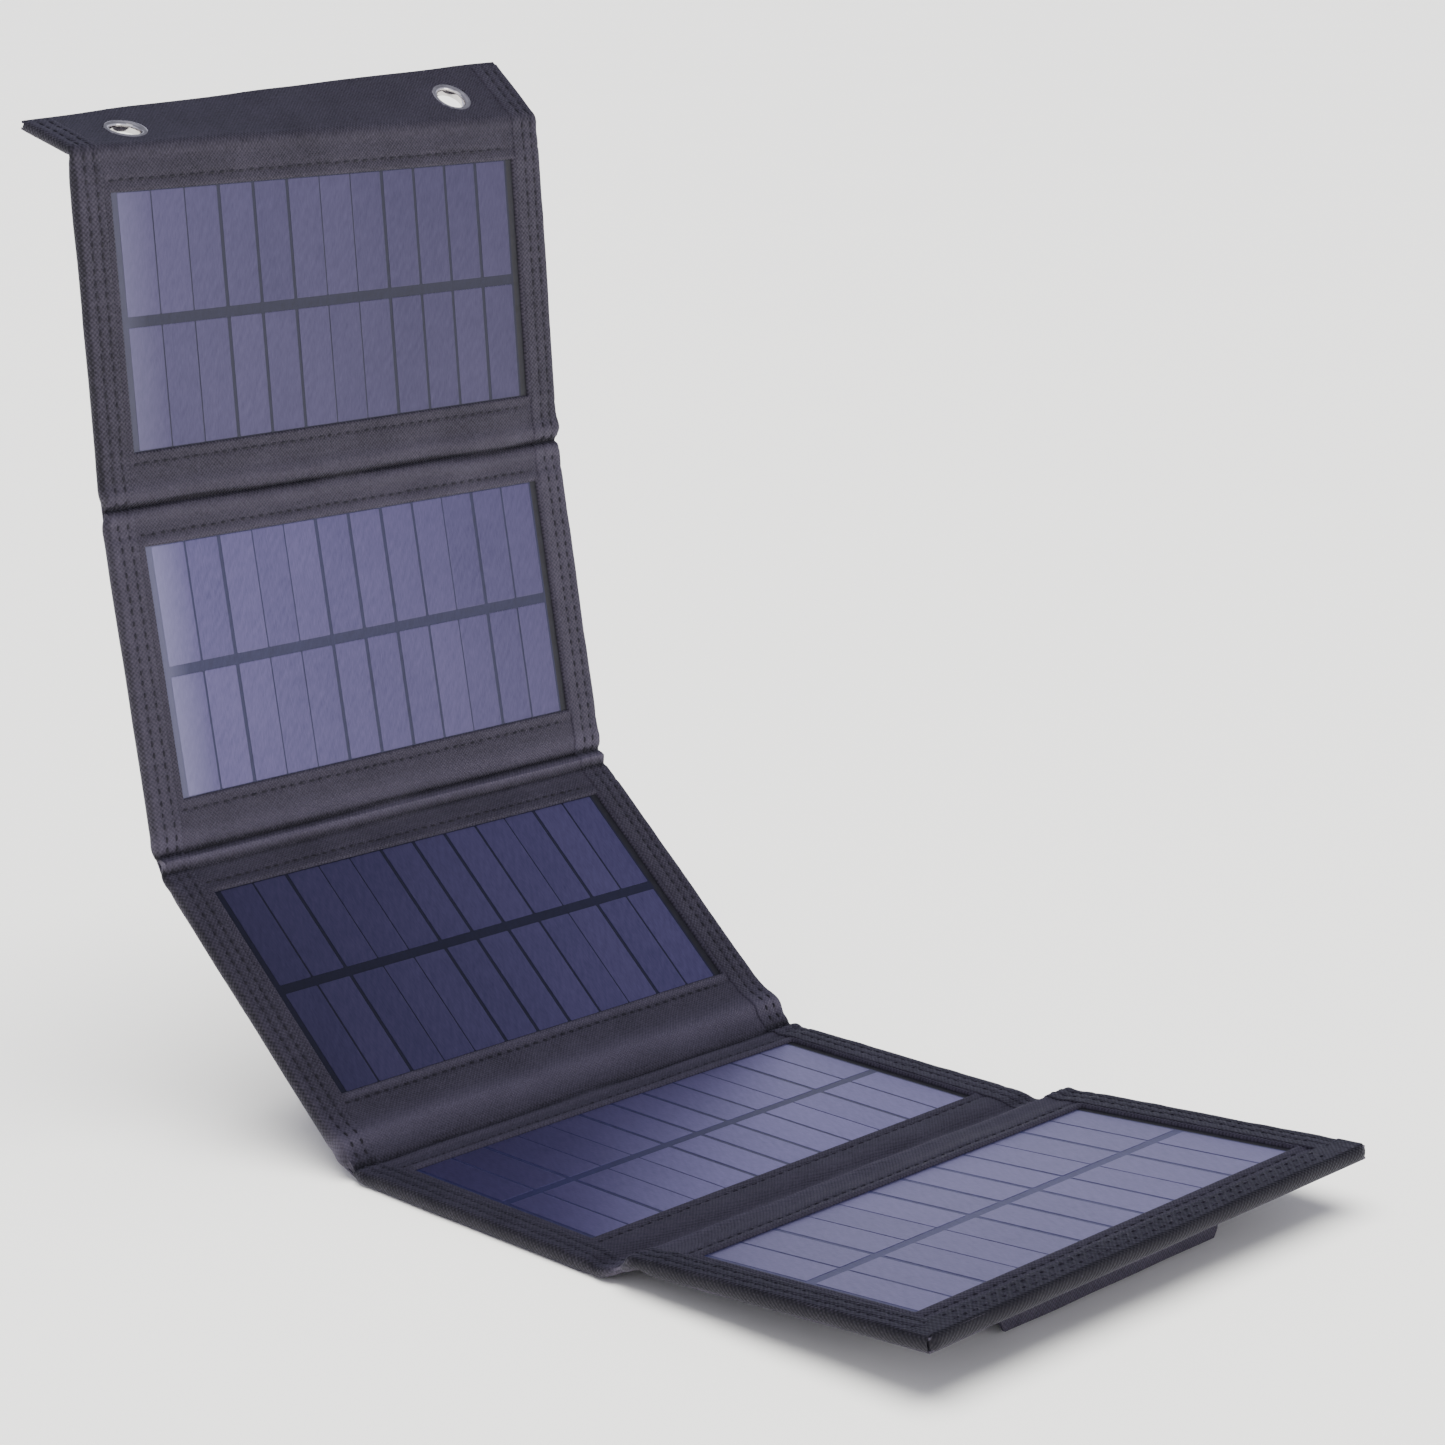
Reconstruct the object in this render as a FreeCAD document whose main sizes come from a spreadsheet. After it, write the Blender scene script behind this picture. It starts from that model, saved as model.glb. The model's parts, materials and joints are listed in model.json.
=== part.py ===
import FreeCAD, Part
import Sketcher
import math
import os

# Folding solar charger: five rigid panels sewn into one strip of fabric, with a hanging flap at
# the top and a pouch for the USB controller behind the last panel.
# +X is to the right as the cells are faced, +Y runs along the floor panel towards the standing
# panels, +Z is up. The origin is the middle of panel 4's underside, which lies on the floor.

DOC = FreeCAD.newDocument("folding_solar_panel")
SHEET = DOC.addObject("Spreadsheet::Sheet", "Sizes")

SIZES = (
    # the fabric strip
    ("strip_width", 153.0), ("panel_depth", 3.6), ("skin", 0.6), ("tape", 0.4),
    ("tape_cover", 10.0), ("hem_wall", 1.2), ("hem_inset", 6.0),
    # the window and what is laminated behind it
    ("window_width", 132.0), ("window_height", 65.2), ("tuck", 2.2), ("film_depth", 0.4),
    ("cell_depth", 0.2), ("board_depth", 1.0), ("cell_columns", 12.0), ("cell_rows", 2.0),
    ("cell_width", 10.45), ("cell_pitch", 10.75), ("cell_length", 31.0), ("cell_row_gap", 2.6),
    # from each window's centre to the crease above it and the crease below it
    ("above_1", 43.2), ("below_1", 43.5), ("above_2", 40.0), ("below_2", 45.0),
    ("above_3", 41.2), ("below_3", 49.7), ("above_4", 41.1), ("below_4", 46.5),
    ("above_5", 44.0), ("below_5", 46.0),
    # width of the soft strip between the two creases of each fold
    ("fold_12", 6.0), ("fold_23", 6.5), ("fold_34", 7.0), ("fold_45", 12.0),
    ("fold_depth", 1.2), ("fold_tape", 0.3), ("crease_room", 1.25), ("crease_gap", 0.5),
    ("flap_room", 2.0), ("flap_length", 22.0), ("flap_tape_start", 3.2),
    # how far each panel stands up from the floor, in degrees
    ("tilt_1", 87.2), ("tilt_2", 80.95), ("tilt_3", 40.85), ("tilt_4", 0.0), ("tilt_5", -4.7),
    ("tilt_flap", 28.0), ("tilt_fold_45", -24.1),
    # flat leads that join the panels
    ("lead_width", 2.4), ("lead_depth", 0.5), ("lead_offset", 3.5), ("lead_slot_width", 10.4),
    ("lead_slot_depth", 0.56), ("lead_clear", 0.3), ("lead_step", 1.0), ("drop_inset", 0.5),
    ("drop_length", 5.6), ("drop_slot", 2.0),
    # eyelets in the flap
    ("eyelet_offset", 53.0), ("eyelet_height", 9.8), ("eyelet_bore", 3.9), ("eyelet_barrel", 4.4),
    ("eyelet_flange", 6.2), ("eyelet_flange_depth", 0.8), ("eyelet_lip", 5.0),
    ("eyelet_lip_depth", 0.4), ("washer_depth", 0.6), ("eyelet_hole", 4.45),
    # pouch for the controller, measured from panel 5's centre along the floor
    ("pouch_half_width", 38.0), ("pouch_front", -29.0), ("pouch_back", 16.0),
    ("pouch_wall", 0.8), ("pouch_mouth", 23.0), ("patch_width", 11.0), ("patch_depth", 0.6),
    ("patch_height", 6.0), ("patch_inset", 1.5), ("patch_rise", 1.5), ("patch_gap", 0.3),
    ("cover_depth", 1.0), ("cover_drop", 9.6), ("cover_room", 0.9),
    # controller case, circuit board and sockets
    ("case_width", 62.0), ("case_length", 26.0), ("case_height", 7.8), ("case_wall", 0.95),
    ("case_corner", 2.5), ("circuit_depth", 1.0), ("circuit_margin", 0.4),
    ("socket_offset", 15.0), ("socket_width", 13.2), ("socket_length", 14.0),
    ("socket_height", 5.8), ("socket_wall", 0.3), ("tongue_width", 11.0), ("tongue_depth", 0.9),
    ("tongue_start", 1.5), ("light_radius", 1.4), ("light_length", 3.2), ("light_room", 0.2),
    # play between rigid parts, and how far a cutting box reaches past what it cuts
    ("play", 0.05), ("over", 1.0),
)

PANELS = (1, 2, 3, 4, 5)
FOLDS = ((1, 2), (2, 3), (3, 4), (4, 5))
X_AXIS = FreeCAD.Vector(1, 0, 0)
ANYWHERE = 40.0     # reach of a cutting box past the solid that it cuts
NODES = []


def write_sheet():
    """Put every driving dimension in the sheet, one named cell a row."""
    for row, (name, value) in enumerate(SIZES, start=1):
        SHEET.set("A%d" % row, name)
        SHEET.set("B%d" % row, repr(value))
        SHEET.setAlias("B%d" % row, name)
    DOC.recompute()


def size(name):
    """A driving dimension as a number."""
    return float(SHEET.get(name))


def cell(text):
    """An expression over the sheet: every word in it that is an alias is looked up there."""
    words = text.replace("(", " ( ").replace(")", " ) ").split()
    known = dict(SIZES)
    return " ".join("Sizes." + word if word in known else word for word in words)


def box(name, start, extent):
    """A block with its low corner and its size given as expressions over the sheet."""
    block = DOC.addObject("Part::Box", name)
    for prop, text in zip(("Length", "Width", "Height"), extent):
        block.setExpression(prop, cell(text))
    for axis, text in zip("xyz", start):
        block.setExpression("Placement.Base." + axis, cell(text))
    return block


def wide_box(name, width, start_y, length, start_z, height):
    """A block centred on the strip's middle line."""
    return box(name, ("0 - ( %s ) / 2" % width, start_y, start_z), (width, length, height))


def rod(name, radius, height, base=()):
    """A cylinder along Z, its base's centre given as expressions."""
    cylinder = DOC.addObject("Part::Cylinder", name)
    cylinder.setExpression("Radius", cell(radius))
    cylinder.setExpression("Height", cell(height))
    for axis, text in zip("xyz", base):
        cylinder.setExpression("Placement.Base." + axis, cell(text))
    return cylinder


def fuse(name, shapes):
    """One solid, or one group of separate solids, from several."""
    joined = DOC.addObject("Part::MultiFuse", name)
    joined.Shapes = shapes
    return joined


def cut(name, base, tools):
    """The base less every tool."""
    result = DOC.addObject("Part::Cut", name)
    result.Base = base
    result.Tool = tools[0] if len(tools) == 1 else fuse(name + "_tools", tools)
    return result


def group(name, shapes):
    """Separate solids kept together as one sub-part."""
    compound = DOC.addObject("Part::Compound", name)
    compound.Links = shapes
    return compound


def node(shape, label, frame):
    """Name a finished sub-part and put it where it belongs."""
    if shape.TypeId in ("Part::Box", "Part::Cylinder"):
        shape = group(label + "_piece", [shape])
    shape.Label = label
    shape.Placement = frame
    NODES.append(shape)


def tilted(y, z, degrees):
    """A frame in the middle plane of a panel or a fold, its Y axis pointing up the strip."""
    return FreeCAD.Placement(FreeCAD.Vector(0, y, z), FreeCAD.Rotation(X_AXIS, degrees))


def step(frame, along):
    """The point that lies so far up the strip from a frame's origin."""
    return frame.multVec(FreeCAD.Vector(0, along, 0))


def fold_tilt(upper, lower):
    """A fold's strip halves the turn between its panels, except beside the thick last panel."""
    if (upper, lower) == (4, 5):
        return size("tilt_fold_45")
    return (size("tilt_%d" % upper) + size("tilt_%d" % lower)) / 2


def lay_out():
    """Frames of the panels, the folds and the flap at rest, worked out from panel 4 outwards."""
    frames = {"panel_4": tilted(0, size("panel_depth") / 2, size("tilt_4"))}
    for upper, lower in ((3, 4), (2, 3), (1, 2)):
        fold = "fold_%d%d" % (upper, lower)
        half = size(fold) / 2
        crease = step(frames["panel_%d" % lower], size("above_%d" % lower))
        start = tilted(crease.y, crease.z, fold_tilt(upper, lower))
        middle = step(start, half)
        frames[fold] = tilted(middle.y, middle.z, fold_tilt(upper, lower))
        crease = step(start, 2 * half)
        start = tilted(crease.y, crease.z, size("tilt_%d" % upper))
        centre = step(start, size("below_%d" % upper))
        frames["panel_%d" % upper] = tilted(centre.y, centre.z, size("tilt_%d" % upper))
    crease = step(frames["panel_1"], size("above_1"))
    frames["flap"] = tilted(crease.y, crease.z, size("tilt_flap"))
    crease = step(frames["panel_4"], -size("below_4"))
    start = tilted(crease.y, crease.z, fold_tilt(4, 5))
    middle = step(start, -size("fold_45") / 2)
    frames["fold_45"] = tilted(middle.y, middle.z, fold_tilt(4, 5))
    crease = step(start, -size("fold_45"))
    start = tilted(crease.y, crease.z, size("tilt_5"))
    centre = step(start, -size("above_5"))
    frames["panel_5"] = tilted(centre.y, centre.z, size("tilt_5"))
    frames["pouch"] = tilted(centre.y, 0, 0)
    return frames


def panel_ends(number, end_room="0"):
    """Expressions for a panel's lower end and its length, less a room at panel 5's free end."""
    top_room = "flap_room" if number == 1 else "crease_room"
    bottom_room = end_room if number == 5 else "crease_room"
    low = "0 - below_%d + %s" % (number, bottom_room)
    length = "above_%d - %s + below_%d - %s" % (number, top_room, number, bottom_room)
    return low, length


def front_fabric(number, frame):
    """The face fabric with its window, turned down along its ends and hemmed along its sides."""
    name = "panel_%d_front_fabric" % number
    low, length = panel_ends(number, "tape")
    middle_low, middle_length = panel_ends(number, "tape_cover")
    floor = "skin - panel_depth / 2"
    middle = wide_box(name + "_middle", "strip_width - 2 * tape_cover", middle_low,
                      middle_length, floor, "panel_depth - skin")
    sides = wide_box(name + "_sides", "strip_width - 2 * tape", low, length,
                     floor, "panel_depth - skin - tape")
    pocket = wide_box(name + "_pocket", "strip_width - 2 * tape - 2 * hem_inset",
                      "( %s ) + hem_wall" % low, "( %s ) - 2 * hem_wall" % length,
                      "0 - panel_depth", "3 * panel_depth / 2 - skin")
    window = wide_box(name + "_window", "window_width", "0 - window_height / 2",
                      "window_height", "0 - panel_depth", "2 * panel_depth")
    passage = wide_box(name + "_passage", "lead_slot_width", "( %s ) - over" % low,
                       "( %s ) + 2 * over" % length, "0 - lead_slot_depth / 2", "lead_slot_depth")
    shell = cut(name, fuse(name + "_blank", [middle, sides]), [pocket, window, passage])
    node(shell, name, frame)


def back_fabric(number, frame):
    """The plain fabric behind the panel, thinned where the edge tape lies over it."""
    name = "panel_%d_back_fabric" % number
    low, length = panel_ends(number, "tape")
    middle_low, middle_length = panel_ends(number, "tape_cover")
    middle = wide_box(name + "_middle", "strip_width - 2 * tape_cover", middle_low,
                      middle_length, "0 - panel_depth / 2", "skin")
    sides = wide_box(name + "_sides", "strip_width - 2 * tape", low, length,
                     "tape - panel_depth / 2", "skin - tape")
    sheet = fuse(name + "_layers", [middle, sides])
    if number == 5:
        sheet = cut(name + "_sheet", sheet, [wide_box(name + "_lead_hole", "lead_slot_width",
                                           "pouch_front + case_length / 2", "drop_slot",
                                           "0 - panel_depth", "2 * panel_depth")])
    node(sheet, name, frame)


def binding(number, frame):
    """Edge tape folded over both sides, and over the free end of the last panel."""
    name = "panel_%d_binding" % number
    low, length = panel_ends(number)
    open_low = "0 - below_5 + tape_cover" if number == 5 else "( %s ) - over" % low
    inner_low = "0 - below_5 + tape" if number == 5 else "( %s ) - over" % low
    outer = wide_box(name + "_outer", "strip_width", low, length,
                     "0 - panel_depth / 2", "panel_depth")
    opening = wide_box(name + "_opening", "strip_width - 2 * tape_cover", open_low,
                       "( %s ) + 2 * over" % length, "0 - panel_depth", "2 * panel_depth")
    inner = wide_box(name + "_inner", "strip_width - 2 * tape", inner_low,
                     "( %s ) + 2 * over" % length, "tape - panel_depth / 2", "panel_depth - 2 * tape")
    node(cut(name, outer, [opening, inner]), name, frame)


def laminate(number, frame):
    """The clear face film, the cells behind it and the board that they are bonded to."""
    prefix = "panel_%d_" % number
    width = "window_width + 2 * tuck"
    height = "window_height + 2 * tuck"
    film_top = "panel_depth / 2 - skin"
    cell_top = film_top + " - film_depth"
    board_top = cell_top + " - cell_depth"
    film = wide_box(prefix + "film_plate", width, "0 - ( %s ) / 2" % height, height,
                    film_top + " - film_depth", "film_depth")
    node(film, prefix + "face_film", frame)
    board = wide_box(prefix + "board_plate", width, "0 - ( %s ) / 2" % height, height,
                     board_top + " - board_depth", "board_depth")
    node(board, prefix + "board", frame)
    cells = []
    for column in range(int(size("cell_columns"))):
        for row in range(int(size("cell_rows"))):
            middle_x = "( %d - ( cell_columns - 1 ) / 2 ) * cell_pitch" % column
            start_x = middle_x + " - cell_width / 2"
            start_y = "cell_row_gap / 2" if row else "0 - cell_row_gap / 2 - cell_length"
            cells.append(box(prefix + "cell_%d_%d" % (column, row),
                             (start_x, start_y, board_top),
                             ("cell_width", "cell_length", "cell_depth")))
    node(group(prefix + "cells", cells), prefix + "cells", frame)


def flat_lead(points, side):
    """A flat lead that follows points in the YZ plane, on one side of the middle line."""
    half = size("lead_depth") / 2
    start_x = side * size("lead_offset") - size("lead_width") / 2
    upper = [FreeCAD.Vector(start_x, y, z + half) for y, z in points]
    lower = [FreeCAD.Vector(start_x, y, z - half) for y, z in reversed(points)]
    outline = Part.makePolygon(upper + lower + [upper[0]])
    return Part.Face(outline).extrude(FreeCAD.Vector(size("lead_width"), 0, 0))


def panel_leads(number, frame):
    """Two flat leads under the board, stepped up to the middle plane where they leave it."""
    name = "panel_%d_leads" % number
    edge = size("window_height") / 2 + size("tuck") + size("lead_clear")
    rise = edge + size("lead_step")
    under = (size("panel_depth") / 2 - size("skin") - size("film_depth") - size("cell_depth")
             - size("board_depth") - size("lead_depth") / 2)
    top_room = "flap_room" if number == 1 else "crease_room"
    top = size("above_%d" % number) - size(top_room)
    bottom = -size("below_%d" % number) + size("crease_room")
    upper_end = [(edge, under), (rise, 0), (top, 0)]
    lower_end = [(bottom, 0), (-rise, 0), (-edge, under)]
    if number == 1:
        points = lower_end + [(edge / 2, under)]
    elif number == 5:
        points = [(size("pouch_front") + size("case_length") / 2, under)] + upper_end
    else:
        points = lower_end + upper_end
    leads = [flat_lead(points, side) for side in (-1, 1)]
    if number == 5:
        leads = [lead.fuse(drop_lead(side)) for lead, side in zip(leads, (-1, 1))]
    feature = DOC.addObject("Part::Feature", name)
    feature.Shape = Part.makeCompound(leads)
    node(feature, name, frame)


def drop_lead(side):
    """The end of a lead that goes down through the back fabric into the controller case."""
    under = (size("panel_depth") / 2 - size("skin") - size("film_depth") - size("cell_depth")
             - size("board_depth") - size("lead_depth"))
    start_y = size("pouch_front") + size("case_length") / 2 + size("drop_inset")
    start = FreeCAD.Vector(side * size("lead_offset") - size("lead_width") / 2, start_y,
                           under - size("drop_length"))
    return Part.makeBox(size("lead_width"), size("lead_depth"), size("drop_length"), start)


def fold(upper, lower, frame):
    """The soft strip between two panels, its edge tape and the leads that pass through it."""
    name = "fold_%d%d" % (upper, lower)
    low = "crease_gap - %s / 2" % name
    length = "%s - 2 * crease_gap" % name
    strip = wide_box(name + "_strip", "strip_width - 2 * fold_tape", low, length,
                     "0 - fold_depth / 2", "fold_depth")
    passage = wide_box(name + "_passage", "lead_slot_width", "( %s ) - over" % low,
                       "( %s ) + 2 * over" % length, "0 - lead_slot_depth / 2", "lead_slot_depth")
    node(cut(name + "_fabric", strip, [passage]), name + "_fabric", frame)
    outer = wide_box(name + "_outer", "strip_width", low, length,
                     "0 - fold_depth / 2 - fold_tape", "fold_depth + 2 * fold_tape")
    opening = wide_box(name + "_opening", "strip_width - 2 * tape_cover", "( %s ) - over" % low,
                       "( %s ) + 2 * over" % length, "0 - panel_depth", "2 * panel_depth")
    inner = wide_box(name + "_inner", "strip_width - 2 * fold_tape", "( %s ) - over" % low,
                     "( %s ) + 2 * over" % length, "0 - fold_depth / 2", "fold_depth")
    node(cut(name + "_binding", outer, [opening, inner]), name + "_binding", frame)
    leads = [box(name + "_lead_%d" % index,
                 ("%d * lead_offset - lead_width / 2" % side, low, "0 - lead_depth / 2"),
                 ("lead_width", length, "lead_depth"))
             for index, side in enumerate((-1, 1))]
    node(group(name + "_leads", leads), name + "_leads", frame)


def flap(frame):
    """The hanging flap above panel 1, its edge tape, and its two eyelets with their washers."""
    sides = (-1, 1)
    sheet = wide_box("flap_sheet", "strip_width - 2 * tape", "crease_gap",
                     "flap_length - crease_gap", "0 - fold_depth / 2", "fold_depth")
    holes = [rod("flap_hole_%d" % index, "eyelet_hole", "2 * panel_depth",
                 ("%d * eyelet_offset" % side, "eyelet_height", "0 - panel_depth"))
             for index, side in enumerate(sides)]
    node(cut("flap_fabric", sheet, holes), "flap_fabric", frame)
    outer = wide_box("flap_outer", "strip_width", "flap_tape_start",
                     "flap_length - flap_tape_start", "0 - fold_depth / 2 - tape",
                     "fold_depth + 2 * tape")
    opening = wide_box("flap_opening", "strip_width - 2 * tape_cover", "0", "2 * flap_length",
                       "0 - panel_depth", "2 * panel_depth")
    inner = wide_box("flap_inner", "strip_width - 2 * tape", "0", "2 * flap_length",
                     "0 - fold_depth / 2", "fold_depth")
    node(cut("flap_binding", outer, [opening, inner]), "flap_binding", frame)
    metal = []
    bores = []
    washers = []
    washer_bores = []
    for index, side in enumerate(sides):
        place = ("%d * eyelet_offset" % side, "eyelet_height")
        lip_base = "0 - fold_depth / 2 - washer_depth - eyelet_lip_depth"
        metal.append(rod("eyelet_flange_%d" % index, "eyelet_flange", "eyelet_flange_depth",
                         place + ("fold_depth / 2",)))
        metal.append(rod("eyelet_barrel_%d" % index, "eyelet_barrel",
                         "fold_depth + washer_depth + eyelet_lip_depth", place + (lip_base,)))
        metal.append(rod("eyelet_lip_%d" % index, "eyelet_lip", "eyelet_lip_depth",
                         place + (lip_base,)))
        bores.append(rod("eyelet_bore_%d" % index, "eyelet_bore", "2 * panel_depth",
                         place + ("0 - panel_depth",)))
        washers.append(rod("washer_disc_%d" % index, "eyelet_flange", "washer_depth",
                           place + ("0 - fold_depth / 2 - washer_depth",)))
        washer_bores.append(rod("washer_bore_%d" % index, "eyelet_barrel", "2 * panel_depth",
                                place + ("0 - panel_depth",)))
    node(cut("eyelets", fuse("eyelet_metal", metal), bores), "eyelets", frame)
    node(cut("eyelet_washers", fuse("washer_discs", washers), washer_bores),
         "eyelet_washers", frame)


def pouch(frame, panel_frame):
    """The pocket sewn behind panel 5: its floor lies on the ground, its top meets the panel."""
    back_plane = DOC.addObject("Part::Box", "panel_5_underside")
    back_plane.Length = 4 * ANYWHERE
    back_plane.Width = 4 * ANYWHERE
    back_plane.Height = ANYWHERE
    corner = FreeCAD.Vector(-2 * ANYWHERE, -2 * ANYWHERE, -size("panel_depth") / 2)
    back_plane.Placement = frame.inverse().multiply(
        panel_frame.multiply(FreeCAD.Placement(corner, FreeCAD.Rotation())))
    outer = wide_box("pouch_outer", "2 * pouch_half_width", "pouch_front",
                     "pouch_back - pouch_front", "0", "5 * panel_depth")
    inner = wide_box("pouch_inner", "2 * pouch_half_width - 2 * pouch_wall",
                     "pouch_front + pouch_wall", "pouch_back - pouch_front - 2 * pouch_wall",
                     "pouch_wall", "5 * panel_depth")
    mouth = wide_box("pouch_mouth_cut", "2 * pouch_mouth", "pouch_front - over",
                     "pouch_wall + 2 * over", "pouch_wall", "5 * panel_depth")
    node(cut("pouch_fabric", outer, [inner, mouth, back_plane]), "pouch_fabric", frame)
    node(patches("loop", "pouch_front - patch_depth"), "loop_patches", frame)


def patches(name, start_y):
    """Two upright patches of hook or loop tape, one each side of the pouch's mouth."""
    pieces = []
    for index, side in enumerate((-1, 1)):
        centre = "%d * ( pouch_mouth + patch_inset + patch_width / 2 )" % side
        pieces.append(box("%s_%d" % (name, index),
                          (centre + " - patch_width / 2", start_y, "patch_rise"),
                          ("patch_width", "patch_depth", "patch_height")))
    return group(name + "_patches", pieces)


def port_cover(frame, panel_frame):
    """The fabric cover that hangs over the pouch's mouth, with hook patches on its inner face."""
    crease = cover_crease(frame, panel_frame)
    outside = "pouch_front - 2 * patch_depth - patch_gap - cover_depth"
    sheet = wide_box("cover_sheet", "2 * pouch_half_width", outside, "cover_depth",
                     "%r - cover_drop" % crease.z, "cover_drop - crease_gap")
    node(sheet, "port_cover_fabric", frame)
    node(patches("hook", "pouch_front - 2 * patch_depth - patch_gap"), "hook_patches", frame)


def cover_crease(frame, panel_frame):
    """Where the port cover bends, in the pouch's frame: just under panel 5's back fabric."""
    y = (size("pouch_front") - 2 * size("patch_depth") - size("patch_gap")
         - size("cover_depth") / 2)
    tilt = math.radians(size("tilt_5"))
    under = panel_frame.Base.z - size("panel_depth") / 2 / math.cos(tilt) + y * math.tan(tilt)
    return FreeCAD.Vector(0, y, under - size("cover_room"))


def rectangle(body, name, height, width, length, centre_y):
    """A rectangle sketch, centred on the YZ plane, on a plane above the body's XY plane."""
    plane = [item for item in body.Origin.OriginFeatures if item.Role == "XY_Plane"][0]
    sketch = body.newObject("Sketcher::SketchObject", name)
    sketch.AttachmentSupport = [(plane, "")]
    sketch.MapMode = "FlatFace"
    sketch.setExpression("AttachmentOffset.Base.z", cell(height))
    x = 10.0    # any size will do until the constraints are set
    corners = [FreeCAD.Vector(a, b, 0) for a, b in ((-x, -x), (x, -x), (x, x), (-x, x))]
    for index in range(4):
        sketch.addGeometry(Part.LineSegment(corners[index], corners[(index + 1) % 4]), False)
    for index in range(4):
        sketch.addConstraint(Sketcher.Constraint("Coincident", index, 2, (index + 1) % 4, 1))
    for index, kind in ((1, "Vertical"), (2, "Horizontal"), (3, "Vertical")):
        sketch.addConstraint(Sketcher.Constraint(kind, index))
    sketch.addConstraint(Sketcher.Constraint("Symmetric", 0, 1, 0, 2, -2))
    wide = sketch.addConstraint(Sketcher.Constraint("DistanceX", 0, 1, 0, 2, 2 * x))
    deep = sketch.addConstraint(Sketcher.Constraint("DistanceY", 1, 1, 1, 2, 2 * x))
    low = sketch.addConstraint(Sketcher.Constraint("DistanceY", -1, 1, 0, 1, -x))
    sketch.setExpression("Constraints[%d]" % wide, cell(width))
    sketch.setExpression("Constraints[%d]" % deep, cell(length))
    sketch.setExpression("Constraints[%d]" % low, cell("%s - ( %s ) / 2" % (centre_y, length)))
    return sketch


def pad(body, name, sketch, height):
    """Raise a sketch along +Z."""
    feature = body.newObject("PartDesign::Pad", name)
    feature.Profile = sketch
    feature.setExpression("Length", cell(height))
    return feature


def pocket(body, name, sketch, depth, upward):
    """Cut a sketch away along Z."""
    feature = body.newObject("PartDesign::Pocket", name)
    feature.Profile = sketch
    feature.Reversed = upward
    feature.setExpression("Length", cell(depth))
    return feature


def case_half(name, label, upright_tray, frame):
    """One half of the controller case: a rounded tray, its hollow open to the other half."""
    base = "pouch_wall" if upright_tray else "pouch_wall + case_height / 2"
    hollow_from = base + " + case_wall" if upright_tray else "pouch_wall + case_height - case_wall"
    body = DOC.addObject("PartDesign::Body", name)
    centre = "pouch_front + pouch_wall + case_length / 2"
    half = "case_height / 2"
    outline = rectangle(body, name + "_outline", base, "case_width", "case_length", centre)
    tray = pad(body, name + "_tray", outline, half)
    DOC.recompute()
    upright = ["Edge%d" % (index + 1) for index, edge in enumerate(tray.Shape.Edges)
               if abs(edge.tangentAt(edge.FirstParameter).z) > 0.9]
    rounded = body.newObject("PartDesign::Fillet", name + "_corners")
    rounded.Base = (tray, upright)
    rounded.setExpression("Radius", cell("case_corner"))
    DOC.recompute()
    inside = rectangle(body, name + "_inside", hollow_from, "case_width - 2 * case_wall",
                       "case_length - 2 * case_wall", centre)
    hollow = pocket(body, name + "_hollow", inside, half + " - case_wall",
                    upright_tray)
    DOC.recompute()
    if hollow.Shape.Volume >= rounded.Shape.Volume:
        raise RuntimeError(name + " is not hollow")
    ports = [box(name + "_port_%d" % index,
                 ("%d * socket_offset - socket_width / 2" % side, "pouch_front - over",
                  "pouch_wall + case_wall"),
                 ("socket_width", "pouch_wall + case_wall + 2 * over",
                  "case_height - 2 * case_wall"))
             for index, side in enumerate((-1, 1))]
    light = rod(name + "_light_hole", "light_radius", "pouch_wall + case_wall + 2 * over")
    light.Placement = light_place(size("pouch_front") - size("over"))
    tools = ports + [light]
    if not upright_tray:
        tools.append(wide_box(name + "_lead_hole", "lead_slot_width",
                              "pouch_front + case_length / 2 - over", "2 * drop_slot + over",
                              "pouch_wall + case_height / 2", "case_height"))
    node(cut(label, body, tools), label, frame)


def light_place(y):
    """A frame whose Z axis points at the pouch's inside, at the status light's height."""
    height = size("pouch_wall") + size("case_height") / 2
    return FreeCAD.Placement(FreeCAD.Vector(0, y, height), FreeCAD.Rotation(X_AXIS, -90))


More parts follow.
